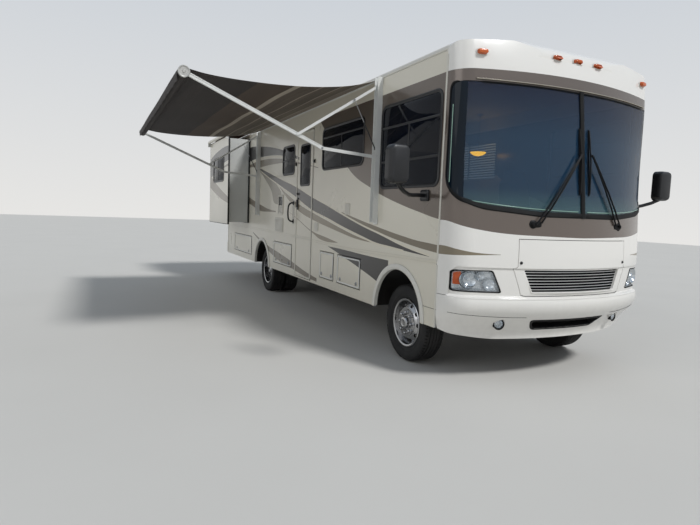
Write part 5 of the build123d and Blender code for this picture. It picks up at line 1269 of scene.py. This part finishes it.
def repeated(name, patterns, material, body="coach"):
    """Piece made of copies: each pattern is (shape round its centre, centre, count, step, turn)."""
    shapes = []
    for (points, faces), centre, count, step, turn_by in patterns:
        unit = new_object(name + "_unit", [Vector(p) / 1000 for p in points], faces)
        modifier = unit.modifiers.new("repeat", "NODES")
        modifier.node_group = REPEAT
        for key, value in (
            ("Count", count), ("Step", [s / 1000 for s in step]), ("Turn", list(turn_by)),
            ("Material", material),
        ):
            modifier[REPEAT_INPUTS[key]] = value
        bpy.context.view_layer.update()
        copied = evaluated_mesh(unit)
        corner = Vector(centre)
        shapes.append((
            [tuple(v.co * 1000 + corner) for v in copied.vertices],
            [tuple(face.vertices) for face in copied.polygons],
        ))
        unit.modifiers.remove(modifier)
        bpy.data.objects.remove(unit)
        bpy.data.meshes.remove(copied)
    return make_piece(name, shapes, material, body)


# tyre compound: near-black, dull, a little brown and dusty where it is scuffed
tyre_rubber, tree, shader = new_material("tyre_rubber_dusty")
coords = add_node(tree, "TexCoord").node.outputs["Object"]
dust = add_node(tree, "TexNoise", {"Vector": coords, "Scale": 9.0, "Detail": 5.0})
amount = add_node(tree, "MapRange", (dust, 0.4, 0.75, 0.0, 0.5))
shown = add_node(tree, "Mix", {0: amount, 6: "#0d0d0e", 7: "#2a2826"}, data_type="RGBA")
grain = add_node(tree, "TexNoise", {"Vector": coords, "Scale": 260.0, "Detail": 2.0})
relief = add_node(tree, "Bump", {"Strength": 0.3, "Distance": 0.001, "Height": grain})
fill(shader, {"Base Color": shown, "Normal": relief, "Roughness": 0.78})
# polished stainless steel with faint buffing and road film
liner_steel = plain_finish(
    "polished_stainless_liner", "#b3b3b4", 0.16, 1.0, grain=60.0, relief=0.04, spread=0.08,
)
HALF_TYRE = (
    (20, 410), (22, 418), (52, 416), (54, 407), (62, 407), (64, 414), (80, 411), (84, 404),
    (108, 402), (114, 392), (119, 376), (122, 352), (121, 336), (118, 322), (117, 306),
    (112, 302), (112, 294), (106, 284), (96, 270), (92, 262), (84, 249),
)
CROWN = [(-17, 410), (-15, 418.5), (15, 418.5), (17, 410)]
TYRE = [(-x, r) for x, r in reversed(HALF_TYRE)] + CROWN + list(HALF_TYRE)
LUG_COUNT = 68
AXLE_HEIGHT, WHEELBASE, OUTER_TRACK, INNER_TRACK = 419, 5150, 1050, 775
LIP = ((96, 240), (104, 240), (110, 250), (110, 260), (104, 266), (98, 264))
HUB = ((0, 66), (8, 66), (16, 60), (20, 44), (21, 40), (19, 36), (19, 8))
LUG = ((78, 403), (78, 415), (100, 412.5), (112, 404), (117, 392), (117, 386), (104, 392))
STILL = (0, 0, 0)


def block(x, y, z, cut=1.5):
    """Block between pairs of X, Y and Z, its long edges broken."""
    (x0, x1), (y0, y1), (z0, z1) = x, y, z
    rows = []
    for x_here, inset in ((x0, cut), (x0 + cut, 0), (x1 - cut, 0), (x1, cut)):
        rows.append([
            (x_here, y0 + inset, z0 + inset), (x_here, y1 - inset, z0 + inset),
            (x_here, y1 - inset, z1 - inset), (x_here, y0 + inset, z1 - inset),
        ])
    return capped(rows)


def lug(side):
    """Shoulder lug in a wheel's own place: a wedge that runs down over the shoulder."""
    rows = [[(side * x, y * (r / AXLE_HEIGHT), r) for x, r in LUG] for y in (-12.5, 12.5)]
    return capped(rows)


for side, label in ((-1, "right"), (1, "left")):
    for y, end, tyres, disc, hub_face, tracks in (
        (0, "front", "tyre", 92, 128, (OUTER_TRACK,)),
        (WHEELBASE, "rear", "tyres", -50, 60, (OUTER_TRACK, INNER_TRACK)),
    ):
        body = f"{end}_wheel_{label[0]}"
        rings, lugs = [], []
        for track in tracks:
            centre = (side * track, y, AXLE_HEIGHT)
            rings.append(ring_of(centre, side, TYRE))
            for face in (-1, 1):
                lugs.append((lug(face), centre, LUG_COUNT, STILL, (2 * pi / LUG_COUNT, 0, 0)))
        piece = make_piece(f"tyre_{end}_{label}_body", rings, tyre_rubber, body)
        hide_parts(f"{tyres}_{end}_{label}")
        repeated(f"tyre_{end}_{label}_lugs", lugs, tyre_rubber, body)
        centre = (side * OUTER_TRACK, y, AXLE_HEIGHT)
        hub_middle = (side * (OUTER_TRACK + hub_face - 6), y, AXLE_HEIGHT)
        band = ((disc - 2, 150), (disc + 6, 146), (disc + 8, 90), (disc, 82))
        liner = [
            ring_of(centre, side, LIP), turned(hub_middle, (side, 0, 0), HUB),
            ring_of(centre, side, band),
        ]
        make_piece(f"wheel_liner_{end}_{label}", liner, liner_steel, body)
        profile = ((0, 21), (6, 21), (8, 18), (30, 17), (36, 12), (38, 4))
        profile = [(disc + along, radius) for along, radius in profile]
        cover = turned((0, 0, 112), (side, 0, 0), profile, 12)
        covers = [(cover, centre, 8, STILL, (pi / 4, 0, 0))]
        name = f"wheel_nut_covers_{end}_{label}"
        repeated(name, covers, liner_steel, body)
dress(
    ("wheel_front_left", "wheel_front_right", "wheels_rear_left", "wheels_rear_right"), liner_steel,
)


# Trims: bright strips over the seam of the front moulding, roof-edge gutters, belt strip across
# the entry door, door furniture, service boxes and bay door seals with their latches.
gutter_paint = plain_finish("gutter_white_enamel", "#d9d6cb", 0.35, grain=60.0, spread=0.06)
seal_rubber = plain_finish("door_seal_rubber", "#151516", 0.7, grain=120.0, relief=0.2)
handle_black = plain_finish("moulded_handle_black", "#101112", 0.4, grain=180.0, relief=0.25)
plate_white = plain_finish("service_cover_white_plastic", "#d8d5cb", 0.45, grain=120.0, relief=0.1)
seams, gutters = [], []
FLAT_STRIP = ((0, -1), (0, 3), (-4, 6), (-9, 6))
for side in (-1, 1):
    place = on_wall(side, WALL)
    for box in ((-724, -700, 1168, 3060), (-722, -702, 530, 1122), (8048, 8070, 530, 3080)):
        seams.append(pressed(box, 4, FLAT_STRIP, place, 3))
    for y0, y1 in ((-690, 540), (5470, 8060)) if side < 0 else ((-690, 8060),):
        levels = ((0, -1), (0, 6), (-3, 10), (-6, 10))
        gutters.append(pressed((y0, y1, 3096, 3112), 3, levels, place, 2))
make_piece("wall_seam_strips", seams, gutter_paint)
make_piece("roof_gutters", gutters, gutter_paint)

on_door, on_right, on_left = on_wall(-1, DOOR_WALL), on_wall(-1, WALL), on_wall(1, WALL)
DOOR_BOX = (2560, 3250, 550, 2800)
door_rim = ((-2, -1), (-2, 4), (-7, 7), (-24, 7), (-28, 4), (-28, -1))
door_trim = [framed(DOOR_BOX, 40, door_rim, on_door, 5)]
for z in (1148, 1176):
    door_trim.append(pressed((2590, 3220, z, z + 12), 3, ((0, -1), (0, 4), (-3, 6)), on_door, 2))
make_piece("entry_door_frame", door_trim, gutter_paint, "door_entry")
lock = ((0, 22), (8, 22), (12, 18), (12, 9), (15, 9), (15, 3))
latch = [
    pressed((3150, 3206, 1600, 1790), 12, ((0, -1), (0, 6), (-4, 10), (-10, 11)), on_door, 4),
    pressed((3160, 3196, 1640, 1760), 10, ((0, 8), (0, 22), (-4, 28), (-8, 29)), on_door, 4),
    turned((-1296, 3178, 1850), (-1, 0, 0), lock, 24),
]
make_piece("entry_door_latch", latch, handle_black, "door_entry")
catches = []
for y in (3288, 2500):
    box = (y - 16, y + 16, 2290, 2350)
    catches.append(pressed(box, 8, ((0, -1), (0, 5), (-3, 8)), on_right, 3))
    box = (y - 9, y + 9, 2300, 2340)
    catches.append(pressed(box, 6, ((0, 6), (0, 22), (-3, 26)), on_right, 3))
GRAB = (
    (1284, 1408), (1330, 1412), (1368, 1450), (1380, 1560), (1368, 1665), (1330, 1704),
    (1284, 1708),
)
catches.append(tube([(-x, 3385, z) for x, z in eased(GRAB, 5)], 13))
for z in (1410, 1706):
    box = (3356, 3414, z - 34, z + 34)
    catches.append(pressed(box, 16, ((0, -1), (0, 6), (-4, 10)), on_right, 4))
make_piece("entry_handle_and_catches", catches, handle_black)
LID, DISH = ((0, -1), (0, 6), (-5, 9), (-12, 9)), ((0, -1), (0, 5), (-4, 8))
recess_rim = ((0, -1), (0, 8), (-5, 12), (-30, 12), (-36, 5), (-36, -1))
COVERS = (
    # wall, box, corner, rings
    (on_right, (3336, 3434, 1362, 1752), 20, ((0, -1), (0, 1), (-2, 2))),
    (on_right, (3962, 4148, 1552, 1650), 10, ((0, -1), (0, 6), (-6, 10))),
    (on_right, (3900, 4340, 1206, 1450), 16, LID),
    (on_right, (3930, 4310, 1232, 1424), 10, ((0, 8), (0, 12), (-4, 14))),
    (on_right, (1250, 1390, 1560, 1700), 12, DISH),
    (on_right, (2300, 2440, 1300, 1420), 12, DISH),
    (on_left, (1000, 1460, 1250, 1560), 16, LID),
    (on_left, (3300, 3700, 1260, 1640), 16, LID),
    (on_left, (4700, 5300, 1300, 1800), 16, LID),
    (on_left, (7500, 7800, 1300, 1560), 16, LID),
)
covers = [pressed(box, corner, levels, place, 4) for place, box, corner, levels in COVERS]
covers.insert(1, framed((3920, 4190, 1510, 1850), 22, recess_rim, on_right, 5))
make_piece("service_covers", covers, plate_white)
lens = pressed((3962, 4148, 1665, 1812), 10, ((0, -1), (0, 7), (-8, 12)), on_right, 4)
porch_lens = plain_finish("porch_lamp_lens", "#3a3c3e", 0.2, grain=90.0)
make_piece("porch_lamp_lens", lens, porch_lens)

# Wheel arch lips: white moulded rubber, pressed over the cut edge of each arch and standing out
# from the skirt.
lip_rubber = plain_finish(
    "arch_lip_white_moulding", "#dddbd3", 0.4, grain=90.0, relief=0.15, spread=0.08
)
ARCH_LIP = ((-3, -26), (-3, 13), (4, 19), (22, 21), (42, 18), (56, 11), (56, -1), (30, -4))
ARCH_CENTRE, ARCH_STEPS = 520, 48
lips = []
for side in (-1, 1):
    for y, opening in ((0, 484), (WHEELBASE, 463)):
        rows = []
        for n in range(ARCH_STEPS + 1):
            angle = radians(1.5 + 177 * n / ARCH_STEPS)
            rows.append([
                (
                    side * (WALL + out), y + (opening + wide) * cos(angle),
                    ARCH_CENTRE + (opening + wide) * sin(angle),
                )
                for wide, out in ARCH_LIP
            ])
        lips.append(capped(rows))
make_piece("wheel_arch_lips", lips, lip_rubber)

# Bay doors: a thin rubber line round each, an enamelled frame pressed on its face, and two round
# zinc-plated thumb latches near the lower edge.
BAYS = (
    (-1, "bay_right_", ((888, 1590), (1700, 2200), (3420, 4420), (5900, 7400))),
    (1, "bay_left_", ((888, 2300), (5900, 7400))),
)
BAY_FRAME = ((-12, 0), (-12, 6), (-17, 9), (-24, 9), (-29, 6), (-29, 0))
THUMB_LATCH = ((0, 24), (5, 24), (8, 20), (8, 12), (4, 11), (4, 4))
for side, name, spans in BAYS:
    place = on_wall(side, WALL)
    for number, (y0, y1) in enumerate(spans):
        body, box = f"{name}{number + 1}", (y0 + 6, y1 - 6, 646, 1024)
        seal = framed(box, 20, ((0, -1), (0, 1.5), (-5, 1.5), (-5, -1)), place, 4)
        make_piece(f"{body}_seal", seal, seal_rubber, body)
        trim = framed(box, 46, BAY_FRAME, place, 5)
        make_piece(f"{body}_trim", trim, arm_enamel, body)
        latches = []
        for share in (0.16, 0.84):
            y = y0 + (y1 - y0) * share
            latches.append(turned((side * 1282, y, 705), (side, 0, 0), THUMB_LATCH, 24))
            slot_bar = (y - 5, y + 5, 690, 720)
            latches.append(pressed(slot_bar, 3, ((0, 2), (0, 9), (-2, 11)), place, 2))
        make_piece(f"{body}_latches", latches, bolt_steel, body)

# Slide-out: rubber bulb seals pressed on the back of its face and round the opening, and a wiper
# lip on the wall.
FACE_BOX, on_slide = (6132, 8028, 1252, 3058), on_wall(-1, SLIDE_WALL)
SLIDE_SEALS = (
    # name, box, corner, rings, place, rounding, body
    (
        "slide_out_face_seal", FACE_BOX, 12,
        ((-2, -32), (-2, -30), (-26, -30), (-26, -32)), on_slide, 4, "slide_out",
    ),
    (
        "slide_out_face_edge", FACE_BOX, 12,
        ((1, -30), (3, -28), (3, -3), (0, 1), (-8, 2), (-9, 0), (-1, -1)), on_slide, 4, "slide_out",
    ),
    (
        "slide_out_wiper_seal", (6170, 7990, 1290, 3020), 4,
        ((-0.5, -20), (-0.5, 1), (-5, 2), (-5.5, -20)), on_right, 3, "coach",
    ),
    (
        "slide_out_bulb_seal", (6181, 7979, 1301, 3009), 4,
        (
            (0.5, -16), (0.5, 20), (-2, 26), (0.5, 32), (7, 34), (12, 26), (12, 1), (6, 1),
            (6, -16),
        ),
        on_right, 3, "coach",
    ),
)
for name, box, corner, levels, place, steps, body in SLIDE_SEALS:
    seal = framed(box, corner, levels, place, steps)
    bulb_seal = make_piece(name, seal, seal_rubber, body)
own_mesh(bulb_seal)


# Roof equipment: a moulded shroud over the air conditioner with a louvred back and ribbed top, and
# four vents, each a curb flange, a domed lid and its hinge.
def upright(x, y, z):
    """Takes a level form as it is: across, along, height."""
    return (x, y, z)


shroud_plastic = plain_finish(
    "roof_shroud_moulded_plastic", "#dedcd5", 0.5, grain=140.0, relief=0.2, spread=0.08
)
lid_plastic = plain_finish("vent_lid_smoked_white", "#cfccc2", 0.35, grain=90.0, spread=0.1)
ROOF = 3215
SHROUD = (
    # height over the roof, half width, half length, place along, corner
    (0, 350, 525, 2900, 90), (26, 350, 525, 2900, 90), (34, 338, 512, 2900, 88),
    (200, 305, 465, 2922, 86), (290, 286, 436, 2938, 82), (318, 272, 420, 2940, 76),
    (330, 246, 394, 2940, 66),
)
rows = []
for rise, half, reach, y, corner in SHROUD:
    box = (-half, half, y - reach, y + reach)
    rows.append([(a, b, ROOF + rise) for a, b in rounded(box, corner)])
roof_shapes = [capped(rows)]
VENTS = ((-250, 4700, 200, 200), (250, 5900, 200, 200), (0, 7100, 200, 200), (-350, 1300, 110, 210))
lids = []
for x, y, half, reach in VENTS:
    box = (x - half, x + half, y - reach, y + reach)
    curb = ((-1, ROOF), (-1, ROOF + 12), (-9, ROOF + 14), (-9, ROOF + 40))
    roof_shapes.append(pressed(box, 30, curb, upright))
    levels = ((-6, 38), (-5, 44), (-6, 62), (-14, 76), (-34, 84), (-70, 89))
    lids.append(pressed(box, 30, [(grow, ROOF + rise) for grow, rise in levels], upright))
    for edge in (-60, 60):
        hinge = (x + edge - 16, x + edge + 16, y + reach - 22, y + reach - 2)
        levels = ((0, ROOF + 30), (0, ROOF + 70), (-4, ROOF + 74))
        lids.append(pressed(hinge, 4, levels, upright, 3))
roof_piece = make_piece("roof_units_shell", roof_shapes, shroud_plastic)
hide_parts("roof_units")
make_piece("roof_vent_lids", lids, lid_plastic)
louvre = capped([
    [(-190, 0, -4), (190, 0, -4), (190, 9, -9), (-190, 9, -9)],
    [(-190, 0, 6), (190, 0, 6), (190, 9, 1), (-190, 9, 1)],
])
rib = block((-7, 7), (-340, 340), (0, 7), 2)
patterns = [
    (louvre, (0, 3405, ROOF + 66), 8, (0, -4.4, 20), STILL),
    (rib, (-180, 2940, ROOF + 326), 7, (60, 0, 0), STILL),
]
repeated("air_conditioner_louvres", patterns, shroud_plastic)

# Ladder: bright anodised aluminium tube with ribbed black rubber treads pushed over the rungs and
# round feet screwed to the wall and the roof.
anodised = plain_finish(
    "anodised_aluminium_bright", "#c6c8ca", 0.3, 1.0, grain=80.0, relief=0.05, spread=0.06
)
tread_rubber = plain_finish("ribbed_tread_rubber", "#1c1c1d", 0.75, grain=200.0, relief=0.4)
dress(("ladder",), anodised)
tread = [block((-150, 150), (y - 2.5, y + 2.5), (-11, 11), 1) for y in (-10, 0, 10)]
tread = joined(tread + [block((-152, 152), (-14, 14), (-10, 10), 1)])
treads = [(tread, (730, 8290, 1260), 7, (0, 0, 300), STILL)]
repeated("ladder_treads", treads, tread_rubber)
FOOT = ((0, 34), (5, 34), (9, 28), (16, 18))
feet = []
for x in (560, 900):
    feet.append(turned((x, 8199, 1180), (0, 1, 0), FOOT, 20))
    feet.append(turned((x, 7860, ROOF - 1), (0, 0, 1), FOOT, 20))
make_piece("ladder_feet", feet, anodised)

# Living space seen through the glass: slatted blinds at the driver's side window, given a faint
# glow as painted light, and the lit dish lamp that hangs beside it.
blind_slats_glowing = plain_finish("blind_slats_painted_glow", "#b5bcbb", 0.5, grain=40.0)
# the slats are no lamp: their faint glow is painted light, so they show pale through the glass
fill(
    blind_slats_glowing.node_tree.nodes["Principled BSDF"],
    {"Emission Color": "#aeb9bd", "Emission Strength": 0.5},
)
slat = capped([[(-6, y, 10), (3, y, -10), (6, y, -9), (-3, y, 11)] for y in (-300, 300)])
blinds = [(slat, (1222, y, 2200), 14, (0, 0, 38), STILL) for y in (1810, 2450)]
repeated("dinette_blinds", blinds, blind_slats_glowing)
lamp_glass, tree, shader = new_material("pendant_lamp_amber_glass")
coords = add_node(tree, "TexCoord").node.outputs["Object"]
swirl = add_node(tree, "TexNoise", {"Vector": coords, "Scale": 30.0, "Detail": 4.0})
shown = add_node(tree, "Mix", {0: swirl, 6: "#e09a08", 7: "#f6c92e"}, data_type="RGBA")
fill(shader, {"Base Color": shown, "Emission Color": shown, "Emission Strength": 6.0})
LAMP_X, LAMP_Y = 1000, 1640
dish = ((0, 20), (12, 66), (36, 104), (52, 118), (56, 117), (50, 96), (44, 10))
dish = turned((LAMP_X, LAMP_Y, 2505), (0, 0, 1), dish, 40)
make_piece("pendant_lamp_dish", dish, lamp_glass)
stem = ((0, 12), (10, 12), (14, 5), (540, 5), (544, 44), (566, 46))
stem = turned((LAMP_X, LAMP_Y, 2548), (0, 0, 1), stem, 20)
make_piece("pendant_lamp_stem", stem, bolt_steel)


# Cab seats: foam pads under tan cloth with piped seams, blown up a little by cloth simulation, on
# black swivel pedestals. The backs rise to a rounded head rest.
def blown(name, shape, material, cap=20, voxel=0.008):
    """Padded piece swollen from a slightly small shape, no point going further than the cap."""
    points, faces = shape
    pad = new_object(name, [spot(*p) for p in points], faces)
    turn_outwards(pad.data, False)
    remesh = pad.modifiers.new("even_mesh", "REMESH")
    remesh.mode = "VOXEL"
    remesh.voxel_size = voxel
    pad.data = evaluated_mesh(pad)
    pad.modifiers.remove(remesh)
    cloth = pad.modifiers.new("air", "CLOTH")
    cloth.settings.use_pressure = True
    cloth.settings.uniform_pressure_force = 4.0
    cloth.settings.effector_weights.gravity = 0.0
    for number in range(1, 21):
        bpy.context.scene.frame_set(number)
    swollen = evaluated_mesh(pad)
    for vertex, grown in zip(pad.data.vertices, swollen.vertices):
        travel = grown.co - vertex.co
        vertex.co += travel * min(1.0, cap / 1000 / max(travel.length, 1e-9))
    pad.modifiers.remove(cloth)
    bpy.data.meshes.remove(swollen)
    bpy.context.scene.frame_set(1)
    softer = pad.modifiers.new("even", "SUBSURF")
    softer.levels = softer.render_levels = 1
    pad.data = evaluated_mesh(pad)
    pad.modifiers.remove(softer)
    pad.data.materials.clear()
    pad.data.materials.append(material)
    pad.data.shade_smooth()
    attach(pad, "coach")
    return pad


seat_weave, tree, shader = new_material("seat_cloth_tan_weave")
coords = add_node(tree, "TexCoord").node.outputs["Object"]
threads = add_node(tree, "TexWave", {"Vector": coords, "Scale": 260.0, "Distortion": 1.0})
worn = add_node(tree, "TexNoise", {"Vector": coords, "Scale": 14.0, "Detail": 4.0})
tone = add_node(tree, "Mix", {0: worn, 6: "#7b6c57", 7: "#9a8b74"}, data_type="RGBA")
relief = add_node(tree, "Bump", {"Strength": 0.3, "Distance": 0.0008, "Height": threads})
fill(shader, {"Base Color": tone, "Normal": relief, "Roughness": 0.92, "Sheen Weight": 0.25})
piping = plain_finish("seat_piping_brown_vinyl", "#4c4035", 0.5, grain=200.0)
BACK = (
    # height, front face, rear face, half width
    (1566, 222, 352, 214), (1600, 222, 362, 234), (1760, 248, 378, 240),
    (1920, 276, 396, 238), (2030, 296, 408, 226), (2090, 306, 414, 176),
    (2120, 310, 416, 158), (2190, 322, 420, 150), (2214, 336, 412, 128),
)
CUSHION = ((-46, 1412), (-12, 1418), (0, 1436), (0, 1506), (-12, 1530), (-54, 1540))
PEDESTAL = ((-1, 1131), (-1, 1160), (-26, 1176), (-40, 1360), (-10, 1378), (-10, 1396))
for x, label in ((-560, "right"), (560, "left")):
    box = (x - 236, x + 236, -176, 296)
    pad = blown(f"seat_cushion_{label}", pressed(box, 60, CUSHION, upright), seat_weave)
    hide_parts("cab_seats")
    rows = []
    for z, front, rear, half in BACK:
        rows.append([(a, b, z) for a, b in rounded((x - half, x + half, front, rear), 42)])
    blown(f"seat_back_{label}", capped(rows), seat_weave)
    seams = []
    for level in (1440, 1508):
        levels = ((14, level + 5), (19, level), (14, level - 5), (9, level))
        seams.append(framed(box, 60, levels, upright))
    make_piece(f"seat_piping_{label}", seams, piping)
    foot = pressed((x - 130, x + 130, -110, 250), 24, PEDESTAL, upright)
    lever = tube([(x + 120, -60, 1384), (x + 200, -60, 1390), (x + 216, -110, 1390)], 8, 8)
    make_piece(f"seat_pedestal_{label}", [foot, lever], handle_black)

# Dashboard: a dark moulded skin with an instrument hood and louvred air outlets snapped into it,
# and a padded rim with finger grips round the steering wheel.
dash_skin = plain_finish("dashboard_grained_skin", "#47423b", 0.62, grain=220.0, relief=0.35)
dress(("dashboard",), dash_skin)
hood_levels = ((-4, 1570), (0, 1592), (-3, 1640), (-14, 1656), (-40, 1662))
dash_shapes = [pressed((300, 740, -980, -726), 50, hood_levels, upright)]
tray_levels = ((0, 1580), (0, 1602), (-8, 1610))
dash_shapes.append(pressed((-700, -240, -1000, -760), 40, tray_levels, upright))
middle, normal = Vector((520, -520, 1600)), Vector((0, 0.5, 0.86)).normalized()
over = Vector((1, 0, 0)).cross(normal)
RIM_RADIUS, RIM_STEPS, GRIPS = 209, 72, 36
around = [2 * pi * n / 12 for n in range(12)]
rows = []
for k in range(RIM_STEPS):
    angle = 2 * pi * k / RIM_STEPS
    way = Vector((cos(angle), 0, 0)) + over * sin(angle)
    grip = 18.6 + 0.7 * cos(GRIPS * angle)
    here = middle + normal * 12 + way * RIM_RADIUS
    rows.append([here + way * grip * cos(b) + normal * grip * sin(b) for b in around])
dash_shapes.append(skin(rows, True))
boss = ((0, 92), (20, 92), (34, 80), (40, 50), (40, 10))
dash_shapes.append(turned(middle + normal * 10, normal, boss, 40))
make_piece("dash_hood_and_wheel_rim", dash_shapes, dash_skin)
slat = block((-70, 70), (-6, 6), (-1.5, 1.5), 0.5)
outlets = [(slat, (x, -692, 1440), 7, (0, 0, 15), STILL) for x in (-900, -300, 160, 900)]
repeated("dash_air_outlets", outlets, handle_black)

# Chassis: riveted black enamelled channel rails, a cast engine block, a sealed plywood floor,
# undersealed steel bays and plastic tanks hung in strapped cradles.
black_steel = plain_finish("chassis_black_enamel", "#1d1d20", 0.5, grain=60.0, relief=0.25)
CHASSIS = (
    "frame_rails", "frame_cross_members", "front_axle", "rear_axle", "knuckle_right",
    "knuckle_left", "tie_rod", "drive_line",
)
dress(CHASSIS, black_steel)
dress(("tanks",), plain_finish("black_polyethylene_tank", "#1b1c1e", 0.55, grain=50.0))
dress(("engine",), plain_finish("cast_iron_engine", "#3d3e40", 0.6, 0.6, grain=180.0, relief=0.5))
dress(("floor",), plain_finish("sealed_plywood_floor", "#5d5140", 0.7, grain=30.0))
dress(
    ("storage_bays",),
    plain_finish("undersealed_sheet_steel", "#232324", 0.75, grain=70.0, relief=0.4),
)
rivet = turned((0, 0, 0), (1, 0, 0), ((-1, 13), (4, 13), (10, 9), (13, 4)), 10)
facing = [(-x, y, z) for x, y, z in rivet[0]], rivet[1]
rail_rivets = []
for side, head in ((1, rivet), (-1, facing)):
    for z in (690, 816):
        rail_rivets.append((head, (side * 432, -900, z), 46, (0, 195, 0), STILL))
repeated("frame_rail_rivets", rail_rivets, black_steel)
strap = block((-338, 338), (-14, 14), (-3, 3), 1)
straps = [
    (strap, (0, 6500, 557), 3, (0, 280, 0), STILL),
    (strap, (0, 2400, 767), 3, (0, 300, 0), STILL),
]
repeated("tank_straps", straps, bolt_steel)
